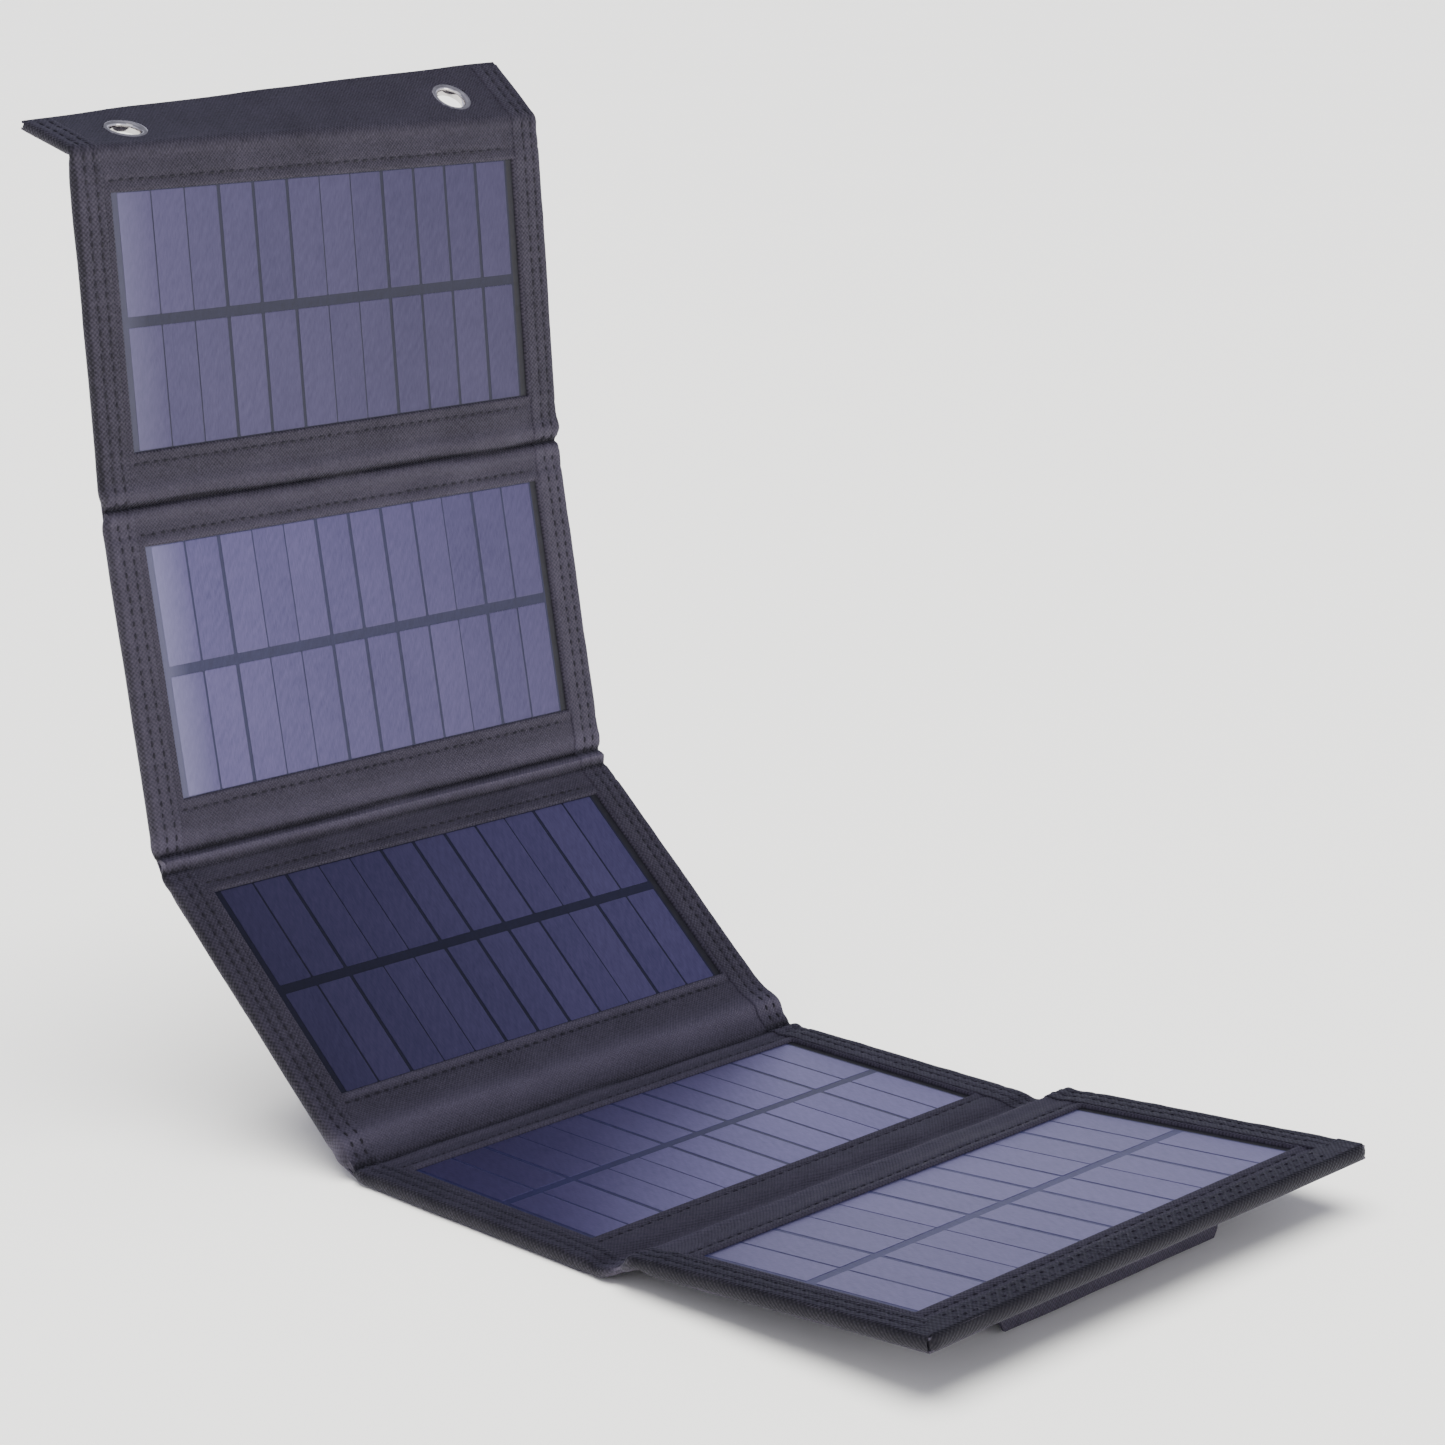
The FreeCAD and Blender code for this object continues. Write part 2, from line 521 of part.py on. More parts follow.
def controller(frame):
    """What the case holds: the circuit board with two sockets sunk into it and a light."""
    front = "pouch_front + pouch_wall"
    floor = "pouch_wall + case_wall + play"
    shells = []
    hollows = []
    tongues = []
    notches = []
    for index, side in enumerate((-1, 1)):
        middle = "%d * socket_offset" % side
        shells.append(box("socket_shell_%d" % index,
                          (middle + " - socket_width / 2 + play", front, floor),
                          ("socket_width - 2 * play", "socket_length", "socket_height")))
        hollows.append(box("socket_hollow_%d" % index,
                           (middle + " - socket_width / 2 + socket_wall", front + " - over",
                            floor + " + socket_wall"),
                           ("socket_width - 2 * socket_wall",
                            "socket_length + over - socket_wall",
                            "socket_height - 2 * socket_wall")))
        tongues.append(box("socket_tongue_%d" % index,
                           (middle + " - tongue_width / 2", front + " + tongue_start",
                            floor + " + socket_height - socket_wall - tongue_depth"),
                           ("tongue_width", "socket_length - tongue_start", "tongue_depth")))
        notches.append(box("socket_notch_%d" % index,
                           (middle + " - socket_width / 2", front + " - over", "0"),
                           ("socket_width", "socket_length + over + play",
                            "2 * case_height")))
    sockets = fuse("usb_sockets", [cut("socket_shells", fuse("socket_blanks", shells), hollows)]
                   + tongues)
    node(sockets, "usb_sockets", frame)
    plate = wide_box("circuit_plate", "case_width - 2 * case_wall - 2 * circuit_margin",
                     front + " + case_wall + circuit_margin",
                     "case_length - 2 * case_wall - 2 * circuit_margin",
                     "pouch_wall + case_height / 2 - circuit_depth", "circuit_depth")
    light_notch = wide_box("light_notch", "2 * light_radius + 2 * light_room", front,
                           "light_length + light_room", "0", "2 * case_height")
    node(cut("circuit_board", plate, notches + [light_notch]), "circuit_board", frame)
    light = rod("light_rod", "light_radius - play", "light_length")
    middle = light_place(size("pouch_front") + size("pouch_wall"))
    node(light, "status_light", frame.multiply(middle))


def check_document():
    """Stop if any object failed to compute, or any sub-part is empty or not a valid shape."""
    for item in DOC.Objects:
        if "Invalid" in item.State or "Error" in item.State:
            raise RuntimeError("%s did not compute: %s" % (item.Name, item.State))
    for item in NODES:
        if item.Shape.isNull() or not item.Shape.isValid() or not item.Shape.Solids:
            raise RuntimeError("%s has no valid shape" % item.Label)


def build():
    """Make every sub-part at its place."""
    frames = lay_out()
    for number in PANELS:
        frame = frames["panel_%d" % number]
        front_fabric(number, frame)
        back_fabric(number, frame)
        binding(number, frame)
        laminate(number, frame)
        panel_leads(number, frame)
    for upper, lower in FOLDS:
        fold(upper, lower, frames["fold_%d%d" % (upper, lower)])
    flap(frames["flap"])
    pouch(frames["pouch"], frames["panel_5"])
    port_cover(frames["pouch"], frames["panel_5"])
    case_half("lower_case", "case_bottom", True, frames["pouch"])
    case_half("upper_case", "case_top", False, frames["pouch"])
    controller(frames["pouch"])


def export_nodes():
    """Write each sub-part to its own file."""
    os.makedirs("parts", exist_ok=True)
    for item in NODES:
        item.Shape.exportStep("parts/%s.step" % item.Label)


write_sheet()
build()
DOC.recompute()
check_document()
export_nodes()
print(len(NODES), "sub-parts")
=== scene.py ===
import json
import math

import bmesh
import bpy
import numpy as np
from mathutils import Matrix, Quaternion, Vector

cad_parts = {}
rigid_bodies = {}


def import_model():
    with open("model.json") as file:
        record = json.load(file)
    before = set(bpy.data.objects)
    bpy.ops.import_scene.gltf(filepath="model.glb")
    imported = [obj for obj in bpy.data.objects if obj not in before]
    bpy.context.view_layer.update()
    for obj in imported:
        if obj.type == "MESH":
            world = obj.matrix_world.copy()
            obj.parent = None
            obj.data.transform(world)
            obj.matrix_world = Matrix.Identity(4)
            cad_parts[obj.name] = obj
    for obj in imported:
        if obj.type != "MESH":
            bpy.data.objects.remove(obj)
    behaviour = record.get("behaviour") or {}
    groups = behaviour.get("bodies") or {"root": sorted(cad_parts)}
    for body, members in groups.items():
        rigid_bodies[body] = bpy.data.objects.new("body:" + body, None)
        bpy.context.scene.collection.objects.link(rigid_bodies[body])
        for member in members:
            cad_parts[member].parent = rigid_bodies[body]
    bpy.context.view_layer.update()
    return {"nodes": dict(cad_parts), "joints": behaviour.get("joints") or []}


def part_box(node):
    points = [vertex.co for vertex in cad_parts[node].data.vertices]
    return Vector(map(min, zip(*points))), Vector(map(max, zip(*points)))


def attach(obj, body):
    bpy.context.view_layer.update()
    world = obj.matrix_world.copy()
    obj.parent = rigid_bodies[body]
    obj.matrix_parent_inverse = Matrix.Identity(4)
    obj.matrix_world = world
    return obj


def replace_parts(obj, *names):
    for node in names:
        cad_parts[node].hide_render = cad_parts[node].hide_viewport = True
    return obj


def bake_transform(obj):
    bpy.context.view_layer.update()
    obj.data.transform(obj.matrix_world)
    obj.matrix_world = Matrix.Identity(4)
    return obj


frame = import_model()

# ---- Sizes, in metres ----
# A panel's own coordinates are x to the right, t up the strip from the middle of its window, and
# h out of its face from its middle plane, where the creases lie. s is t counted outwards, from
# the middle of the window towards the crease that a half ends at.
MM = 0.001
SIDES = {-1: "left", 1: "right"}
PANEL_5_TILT = math.radians(-4.7)
FREE_END = 46.0 * MM            # from panel 5's window to the free end of the strip
FLAP_LENGTH = 22.0 * MM
FLAP_TWIST = math.radians(12.5)  # the flap leans back this much more at its left end
HALF_WINDOW_X = 66.0 * MM
HALF_WINDOW_T = 32.6 * MM
HALF_STRIP = 76.5 * MM
CLOTH_EDGE = 75.8 * MM          # the carrier fabric ends here, inside the edge tape
FRONT = 1.8 * MM                # the front fabric's face at a panel
BACK = -1.78 * MM               # the tape's face behind a panel
FILM_TOP = 1.2 * MM
FOLD_FRONT = 1.35 * MM          # the fabric's two faces where it has no board inside
FOLD_BACK = -1.0 * MM
CLOTH = 0.5 * MM                # thickness of a layer of the carrier fabric
TAPE = 0.4 * MM                 # thickness of the edge tape
TAPE_INNER = {-1: 68.3 * MM, 1: 66.8 * MM}   # where the tape's inner edge lies, left and right
LEAD_IN = 4.2 * MM              # how far before a crease the fabric starts to turn
FLAP_LEAD_IN = 2.6 * MM
REACH = 2.2 * MM                # and how far past it the turn ends
HEM = 3.0                       # from the window's edge to its hem's seam, in mm
SEAMS = (3.2, 6.2)              # from the strip's edge to the tape's two seams, in mm
STITCH_PITCH = 3.1 * MM
STITCH_LENGTH = 2.3 * MM
STITCH_RADIUS = 0.27 * MM
STITCH_HALF_WIDTH = 0.34 * MM   # the thread is pressed flat
STITCH_SINK = 0.05 * MM
TAPE_TURN = 75.1 * MM           # where the edge tape starts to turn round the strip's edge
TAPE_MIDDLE = 72 * MM
TAPE_REACH = 1.4 * MM           # and how far the turn reaches
END_TAPE_INNER = 37.6 * MM      # from the middle of panel 5's window
END_TAPE_HALF = 75.6 * MM
END_SEAMS = (3.2 * MM, 6.4 * MM)
TAPE_ON_FLAP = 20.5 * MM        # how far past the flap's crease the tape runs
HEM_STEPS = np.array([0, 0.12, 0.4, 0.9]) * MM   # close together where a fold is round
HEM_ROUND = 0.5 * MM            # radius of a hem's rounded edge
HEM_SWELL = 0.22 * MM           # the rise of a hem's fold, and the depth of its seam
SEAM_WIDTH = 0.6 * MM
UNEVEN = 0.22 * MM              # how far the cloth wanders
TAPE_ROUND = 0.4 * MM
BOARD_END = 7 * MM              # how far before a crease the board inside ends
BOARD_DROP = 5.5 * MM           # and over what length the cloth comes down from it
CUT_BACK = 0.6 * MM             # how far inside the end tape the cloth stops
UNDER_BOARD = 0.25 * MM         # from the tape's back to the back cloth
EYELET_X = 53.0 * MM
EYELET_RISE = 9.8 * MM          # from the flap's crease to the middle of an eyelet
EYELET_BORE = 3.9 * MM

# Where each kind of unevenness starts its random numbers
SEED_TAPE, SEED_EDGE, SEED_END, SEED_BACK, SEED_FILM, SEED_POUCH, SEED_COVER = (
    7, 40, 77, 300, 500, 601, 611)

# How the fabric swells and dips at each fold, in mm: a distance from the middle of the fold, up
# the strip, a width and a height, and how much painted shade the cloth gets there (painted
# light where it is below 0).
FOLD_SHAPE = {
    "fold_12": ((0, 0.7, -1.35, 1.2), (3.4, 2.3, 1.0, -0.35), (-2.6, 1.7, 0.6, -0.2)),
    "fold_23": ((2.2, 0.75, -1.25, 1.2), (5.6, 2.6, 0.6, -0.5), (-0.2, 1.0, 1.0, -1.05),
                (-2.6, 0.7, -0.7, 0.7)),
    "fold_34": ((6.6, 4.4, 2.5, -1.0), (-1.2, 1.0, -1.0, 0.8), (-4.0, 1.5, 0.7, -0.3)),
    "fold_45": ((0.5, 4.2, -1.2, -0.9), (-5.2, 1.5, 0.9, -0.3)),
}
# How much painted shade the fabric gets on each panel, as the light falls on each differently,
# how much painted highlight a hem's fold gets beside the window, and how much more painted shade
# the edge tape gets than the fabric
FABRIC_SHADE = {1: 0.2, 2: -0.04, 3: 0.04, 4: -0.12, 5: -0.12}
HEM_HIGHLIGHT = {(2, 1): 0.25, (2, -1): 0.1, (3, -1): 0.55, (4, 1): 0.5}
TAPE_SHADE = {1: 0.0, 2: -0.12, 3: 0.1, 4: 0.42, 5: 0.6}
PALE_THREAD = -0.1              # how much darker the thread is than the tape
LEADS_REACH = 10.0 * MM         # the creases are shallow over the leads in the middle


def smooth(values):
    """0 below 0, 1 above 1, and a smooth step between."""
    clipped = np.clip(values, 0, 1)
    return clipped * clipped * (3 - 2 * clipped)


def hump(values, centre, width):
    """A bell curve, 1 at its centre."""
    return np.exp(-((values - centre) / width) ** 2)


def rounded(distance, radius):
    """A quarter circle's rise from 0 at an edge to 1 at the radius."""
    return np.sqrt(1 - (1 - np.clip(distance / radius, 0, 1)) ** 2)


def ripple(x, t, seed, wavelength):
    """Soft, repeatable unevenness between about -1 and 1."""
    random = np.random.default_rng(seed)
    total = np.zeros(np.broadcast(x, t).shape)
    for _ in range(7):
        angle = random.uniform(0, math.pi)
        size = wavelength * random.uniform(0.6, 1.6)
        phase = random.uniform(0, 2 * math.pi)
        total += np.sin((x * math.cos(angle) + t * math.sin(angle)) * 2 * math.pi / size + phase)
    return total / 4


def joint_point(name):
    """Where a joint's axis crosses the YZ plane."""
    joint = next(j for j in frame["joints"] if j["name"] == name)
    return np.array(joint["pos_m"][1:])


def box_centre(node):
    """The middle of a CAD node's box, in the YZ plane."""
    low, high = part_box(node)
    return np.array([(low.y + high.y) / 2, (low.z + high.z) / 2])


def direction(angle):
    """A unit vector in the YZ plane, and the one a quarter turn on from it."""
    along = np.stack([np.cos(angle), np.sin(angle)], axis=-1)
    across = np.stack([-np.sin(angle), np.cos(angle)], axis=-1)
    return along, across


def tilt_between(lower, upper):
    """The angle of the line from one crease to the next."""
    step = upper - lower
    return math.atan2(step[1], step[0])


class Panel:
    """Where one panel stands at rest."""

    def __init__(self, number):
        self.number = number
        self.body = "panel_%d" % number
        above = "fold_%d%d_lower" % (number - 1, number) if number > 1 else "flap_fold"
        upper = joint_point(above)
        self.tilt = PANEL_5_TILT
        if number < 5:
            lower = joint_point("fold_%d%d_upper" % (number, number + 1))
            self.tilt = tilt_between(lower, upper)
        self.along, self.across = direction(self.tilt)
        offset = (box_centre(self.body + "_face_film") - upper) @ self.along
        self.centre = upper + self.along * offset
        self.top = -offset
        self.bottom = (lower - self.centre) @ self.along if number < 5 else -FREE_END

    def place(self, points):
        """Panel coordinates to the row frame, with nothing bent."""
        flat = self.centre + points[..., 1:2] * self.along + points[..., 2:3] * self.across
        return np.concatenate([points[..., :1], flat], axis=-1)

    def attach(self, piece):
        """Fix a piece to the panel."""
        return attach(piece, self.body)


class Half:
    """A panel's upper or lower half, with half of the fold that it reaches or with the flap."""

    def __init__(self, panel, side):
        self.panel, self.number, self.side = panel, panel.number, side
        self.name = "%s_%s" % (panel.body, "upper" if side > 0 else "lower")
        self.crease = panel.top if side > 0 else panel.bottom
        self.pivot = panel.centre + self.crease * panel.along
        self.rise = abs(self.crease)
        self.length = self.rise
        self.fold = self.find_fold()
        self.turn, self.twist, self.lead_in = 0.0, 0.0, LEAD_IN
        if self.fold == "flap":
            self.turn = tilt_between(joint_point("flap_fold"), box_centre("flap_fabric"))
            self.turn -= panel.tilt
            self.length += FLAP_LENGTH
            self.twist = FLAP_TWIST
            self.lead_in = FLAP_LEAD_IN
        elif self.fold:
            lower = joint_point(self.fold + "_lower")
            upper = joint_point(self.fold + "_upper")
            self.turn = tilt_between(lower, upper) - panel.tilt
            self.length += np.linalg.norm(upper - lower) / 2

    def find_fold(self):
        """The body on the far side of this half's crease, or None at the free end."""
        number = self.number
        if self.side > 0:
            return "flap" if number == 1 else "fold_%d%d" % (number - 1, number)
        return None if number == 5 else "fold_%d%d" % (number, number + 1)

    def place(self, points):
        """Panel coordinates to the row frame, bent at this half's crease."""
        placed = self.panel.place(points)
        if not self.fold:
            return placed
        past = (points[..., 1] - self.crease) * self.side
        weight = smooth((past + self.lead_in) / (self.lead_in + REACH))
        angle = weight * (self.turn + self.twist * points[..., 0] / HALF_STRIP)
        arm = placed[..., 1:] - self.pivot
        cos, sin = np.cos(angle)[..., None], np.sin(angle)[..., None]
        turned = np.concatenate([arm[..., :1] * cos - arm[..., 1:] * sin,
                                 arm[..., :1] * sin + arm[..., 1:] * cos], axis=-1)
        return np.concatenate([placed[..., :1], self.pivot + turned], axis=-1)

    def attach(self, piece):
        """Leave a piece that reaches a fold where it stands, already bent, or fix it to the panel
        where there is no fold.
        """
        if not self.fold:
            return self.panel.attach(piece)
        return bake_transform(piece)

    def from_fold(self, x, s):
        """The distance up the strip from the middle of the fold, which wanders a little."""
        wander = 0.5 * MM * ripple(x, 0 * x, int(self.fold[-2:]), 60 * MM)
        return (s - self.length) * self.side + wander

    def swell(self, x, s):
        """How far the folds' own shapes lift the front fabric."""
        if self.fold not in FOLD_SHAPE:
            return 0 * s
        apart = self.from_fold(x, s)
        seed = int(self.fold[-2:])
        shallow = 1 - 0.8 * hump(x, 0, LEADS_REACH)
        lift = 0
        for centre, width, height, _ in FOLD_SHAPE[self.fold]:
            lift = lift + (height * MM * hump(apart, centre * MM, width * MM)
                           * (shallow if height < 0 else 1))
        return lift * (1 + 0.15 * ripple(x, 0 * x, seed + 1, 30 * MM))

    def front(self, x, s):
        """How high the front fabric stands."""
        ending = self.rise if self.fold else self.length + 20 * MM
        drop = smooth((s - (ending - BOARD_END)) / BOARD_DROP)
        height = FRONT + (FOLD_FRONT - FRONT) * drop
        beyond = np.hypot(np.maximum(np.abs(x) - HALF_WINDOW_X, 0),
                          np.maximum(s - HALF_WINDOW_T, 0))
        height = height + HEM_SWELL * hump(beyond, 0.9 * MM, 0.8 * MM)
        height = height - HEM_SWELL * hump(s - HALF_WINDOW_T, HEM * MM, SEAM_WIDTH)
        seed = 10 * self.number + self.side
        waves = ripple(x, s * self.side, seed, 30 * MM)
        still = smooth((s - HALF_WINDOW_T - MM) / (4 * MM))
        if self.fold and self.fold != "flap":
            still = still * smooth((self.length - s) / (3 * MM))
        height = height + UNEVEN * waves * still
        height = height + self.swell(x, s) * smooth((s - HALF_WINDOW_T - 2 * MM) / (3 * MM))
        return FILM_TOP + (height - FILM_TOP) * rounded(beyond, HEM_ROUND)

    def tape_front(self, x, s):
        """How high the edge tape's front face stands."""
        middle = np.where(x < 0, -1, 1) * TAPE_MIDDLE
        height = self.front(middle, s) + TAPE + 0.1 * MM * ripple(x, s, SEED_TAPE, 9 * MM)
        for inset in SEAMS:
            height = height - 0.2 * MM * hump(np.abs(x), HALF_STRIP - inset * MM, 0.5 * MM)
        return height

    def shade(self, x, s):
        """How much painted shade the cloth gets in its creases and seams, how much painted light
        on its folds and hems, and the panel's own painted level.
        """
        hem = s - HALF_WINDOW_T
        pale = HEM_HIGHLIGHT.get((self.number, self.side), 0)
        # Painted shade in the hem seam's dimples, less a painted highlight on the hem's fold.
        dark = 0.2 * hump(hem, HEM * MM, SEAM_WIDTH) - pale * hump(hem, 1.2 * MM, 0.9 * MM)
        dark = dark * (np.abs(x) < HALF_WINDOW_X) + FABRIC_SHADE[self.number]
        if self.fold not in FOLD_SHAPE:
            return dark
        apart = self.from_fold(x, s)
        for centre, width, _, amount in FOLD_SHAPE[self.fold]:
            dark = dark + amount * hump(apart, centre * MM, width * MM)
        return dark

    def edge(self, side, s):
        """How far the strip's left or right edge stands from where a straight one would."""
        wander = UNEVEN * ripple(s * self.side, 0.1 * self.number, SEED_EDGE + side, 34 * MM)
        if self.fold in FOLD_SHAPE:
            wander = wander * smooth((self.length - s) / (3 * MM))
            wander = wander - 0.9 * MM * hump(s, self.length, 2.0 * MM)
            wander = wander + 0.35 * MM * hump(s, self.length - 5 * MM, 2.4 * MM)
        return wander * smooth(s / (5 * MM))

    def back(self, s):
        """How low the tape's back face lies."""
        if not self.fold:
            return np.full(np.shape(s), BACK)
        drop = smooth((s - (self.rise - BOARD_END)) / BOARD_DROP)
        return BACK + (FOLD_BACK - TAPE / 2 - BACK) * drop


PANELS = [Panel(number) for number in (1, 2, 3, 4, 5)]
HALVES = [Half(panel, side) for panel in PANELS for side in (1, -1)]


# ---- Meshes ----
SHOWN = bpy.context.scene.collection.objects


def make_piece(name, points, faces, uvs, materials, slots=None, sharp=50, **fields):
    """A new smooth-shaded object, with its normals outwards, UVs in metres and point fields."""
    used = np.unique(np.concatenate([np.asarray(face) for face in faces]))
    renumber = np.full(len(points), -1)
    renumber[used] = np.arange(len(used))
    mesh = bpy.data.meshes.new(name)
    mesh.from_pydata([tuple(p) for p in points[used]], [],
                     [tuple(int(renumber[i]) for i in face) for face in faces])
    for material in materials:
        mesh.materials.append(material)
    if slots is not None:
        mesh.polygons.foreach_set("material_index", np.asarray(slots, dtype=np.int32))
    layer = mesh.uv_layers.new(name="metres")
    loops = np.empty(len(mesh.loops), dtype=np.int32)
    mesh.loops.foreach_get("vertex_index", loops)
    layer.data.foreach_set("uv", np.asarray(uvs)[used][loops].astype(np.float32).ravel())
    build = bmesh.new()
    build.from_mesh(mesh)
    bmesh.ops.recalc_face_normals(build, faces=build.faces)
    build.to_mesh(mesh)
    build.free()
    for field, values in fields.items():
        made = mesh.attributes.new(field, "FLOAT", "POINT")
        made.data.foreach_set("value", np.asarray(values, dtype=np.float32).ravel()[used])
    mesh.shade_smooth()
    mesh.set_sharp_from_angle(angle=math.radians(sharp))
    piece = bpy.data.objects.new(name, mesh)
    SHOWN.link(piece)
    return piece


def closed_sheet(top, bottom, keep=None):
    """Points and faces of a sheet with two skins and a rim, from two grids of points."""
    rows, columns = top.shape[:2]
    count = rows * columns
    index = np.arange(count).reshape(rows, columns)
    if keep is None:
        keep = np.ones((rows - 1, columns - 1), bool)
    padded = np.pad(keep, 1)
    faces = []
    for row, column in np.argwhere(keep):
        a, b = index[row, column], index[row, column + 1]
        c, d = index[row + 1, column + 1], index[row + 1, column]
        faces.append((a, b, c, d))
        faces.append((d + count, c + count, b + count, a + count))
        beside = ((row, column + 1, b, a), (row + 2, column + 1, d, c),
                  (row + 1, column, a, d), (row + 1, column + 2, c, b))
        for next_row, next_column, one, two in beside:
            if not padded[next_row, next_column]:
                faces.append((one, two, two + count, one + count))
    return np.concatenate([top.reshape(-1, 3), bottom.reshape(-1, 3)]), faces


def thickened(grid, depth):
    """The same grid of points moved along its normals."""
    down = np.gradient(grid, axis=0)
    across = np.gradient(grid, axis=1)
    normals = np.cross(across, down)
    length = np.linalg.norm(normals, axis=2, keepdims=True)
    return grid + depth * normals / np.maximum(length, 1e-12)


def lining(outer, depth, at):
    """A sheet's inner skin, on the side where one point's coordinate is the greater."""
    inner = thickened(outer, depth)
    return inner if inner[at] >= outer[at] else thickened(outer, -depth)


def loft(rings, endless=False):
    """Points and faces of a tube through rings of points, with flat ends or with none."""
    count, around = rings.shape[:2]
    ends = [tuple(range(around)), tuple(range((count - 1) * around, count * around))]
    faces = [] if endless else ends
    for ring in range(count if endless else count - 1):
        after = (ring + 1) % count
        for point in range(around):
            onward = (point + 1) % around
            faces.append((ring * around + point, ring * around + onward,
                          after * around + onward, after * around + point))
    return rings.reshape(-1, 3), faces


def joined(parts):
    """Several sets of points and faces as one."""
    points, faces, start = [], [], 0
    for part_points, part_faces in parts:
        points.append(part_points)
        faces.extend(tuple(np.asarray(face) + start) for face in part_faces)
        start += len(part_points)
    return np.concatenate(points), faces


def spaced(*stops):
    """Positions from (from, to, step) runs, in order and without repeats."""
    runs = [np.linspace(a, b, max(2, int(round(abs(b - a) / step)) + 1)) for a, b, step in stops]
    return np.unique(np.round(np.concatenate(runs), 7))


def window_lines(edge, end, step):
    """Positions outwards from a window's edge, close together where the hem is round."""
    near = edge + np.array([0, 0.08, 0.2, 0.4, 0.7, 1.1, 1.6, 2.1, 2.5, 2.8, 3.1, 3.4, 3.8]) * MM
    return np.concatenate([near, spaced((edge + 4.4 * MM, end, step))])


# ---- Materials ----
class Nodes:
    """A material's node tree, built a node at a time."""

    def __init__(self, name, **sockets):
        self.material = bpy.data.materials.new(name)
        self.material.use_nodes = True
        self.tree = self.material.node_tree
        self.shader = self.tree.nodes["Principled BSDF"]
        for socket, value in sockets.items():
            self.shader.inputs[socket.replace("_", " ")].default_value = value

    def node(self, kind, settings=None, **inputs):
        made = self.tree.nodes.new(kind)
        for name, value in (settings or {}).items():
            setattr(made, name, value)
        for name, value in inputs.items():
            key = int(name[1:]) if name[0] == "i" and name[1:].isdigit() else name
            if isinstance(value, bpy.types.NodeSocket):
                self.tree.links.new(value, made.inputs[key])
            else:
                made.inputs[key].default_value = value
        return made

    def math(self, operation, a, b=0.0):
        return self.node("ShaderNodeMath", {"operation": operation}, i0=a, i1=b).outputs[0]

    def noise(self, vector, scale, detail=3.0, roughness=0.55):
        return self.node("ShaderNodeTexNoise", Vector=vector, Scale=scale, Detail=detail,
                         Roughness=roughness).outputs["Fac"]

    def ramp(self, value, low, high, start=0.3, end=0.7):
        """A value spread from one colour to another."""
        made = self.node("ShaderNodeMapRange", Value=value, i1=start, i2=end)
        return self.mix(made.outputs[0], (*low, 1), (*high, 1))

    def mix(self, factor, a, b):
        """One colour, or another."""
        return self.node("ShaderNodeMix", {"data_type": "RGBA"}, i0=factor, i6=a,
                         i7=b).outputs[2]

    def weave(self, uv, pitch):
        """A plain weave's height."""
        warp = self.node("ShaderNodeTexNoise", Vector=uv, Scale=260.0, Detail=2.0)
        shift = self.node("ShaderNodeVectorMath", {"operation": "SCALE"},
                          i0=warp.outputs["Color"], Scale=0.0004)
        moved = self.node("ShaderNodeVectorMath", {"operation": "ADD"}, i0=uv,
                          i1=shift.outputs[0]).outputs[0]
        parts = self.node("ShaderNodeSeparateXYZ", Vector=moved)
        across = self.math("SINE", self.math("MULTIPLY", parts.outputs[0], math.pi / pitch))
        along = self.math("SINE", self.math("MULTIPLY", parts.outputs[1], math.pi / pitch))
        crossing = self.math("MULTIPLY", across, along)
        return self.math("MULTIPLY_ADD", crossing, 0.5)

    def plus(self, total, value, weight):
        """A total with a weighted value added to it."""
        return self.math("ADD", total, self.math("MULTIPLY", value, weight))

    def field(self, name):
        """A value that the mesh carries at its points."""
        return self.node("ShaderNodeAttribute", {"attribute_name": name}).outputs["Fac"]

    def uv(self):
        """The mesh's UVs, in metres."""
        return self.node("ShaderNodeUVMap", {"uv_map": "metres"}).outputs[0]

    def bump(self, height, distance):
        made = self.node("ShaderNodeBump", Height=height, Distance=distance)
        self.tree.links.new(made.outputs[0], self.shader.inputs["Normal"])

    def link(self, output, socket):
        self.tree.links.new(output, self.shader.inputs[socket])


def cloth_material(name, dark, light, pitch, bump, sheen=0.06):
    """Woven synthetic cloth with a fine grain, uneven dye and a soft sheen, and the painted shade
    and painted light that its mesh carries.
    """
    nodes = Nodes(name, Roughness=0.72, Sheen_Weight=sheen, Sheen_Roughness=0.45,
                  Sheen_Tint=(0.8, 0.8, 1.0, 1), Specular_IOR_Level=0.2)
    uv = nodes.uv()
    weave = nodes.weave(uv, pitch)
    wear = nodes.noise(uv, 60.0, 6.0, 0.7)
    fuzz = nodes.noise(uv, 950.0, 3.0, 0.7)
    tone = nodes.plus(nodes.math("MULTIPLY", weave, 0.4), wear, 0.6)
    tone = nodes.plus(tone, fuzz, 0.9)
    # The mesh's shade field is painted shade: it darkens the cloth, and lightens it where it is
    # below 0.
    tone = nodes.plus(tone, nodes.field("shade"), -0.6)
    nodes.link(nodes.ramp(tone, dark, light, 0.4, 1.75), "Base Color")
    nodes.bump(nodes.plus(weave, fuzz, 0.7), bump)
    return nodes.material


FILM_BUMP = 0.02 * MM
HAZE = (0.26, 0.25, 0.37, 1)


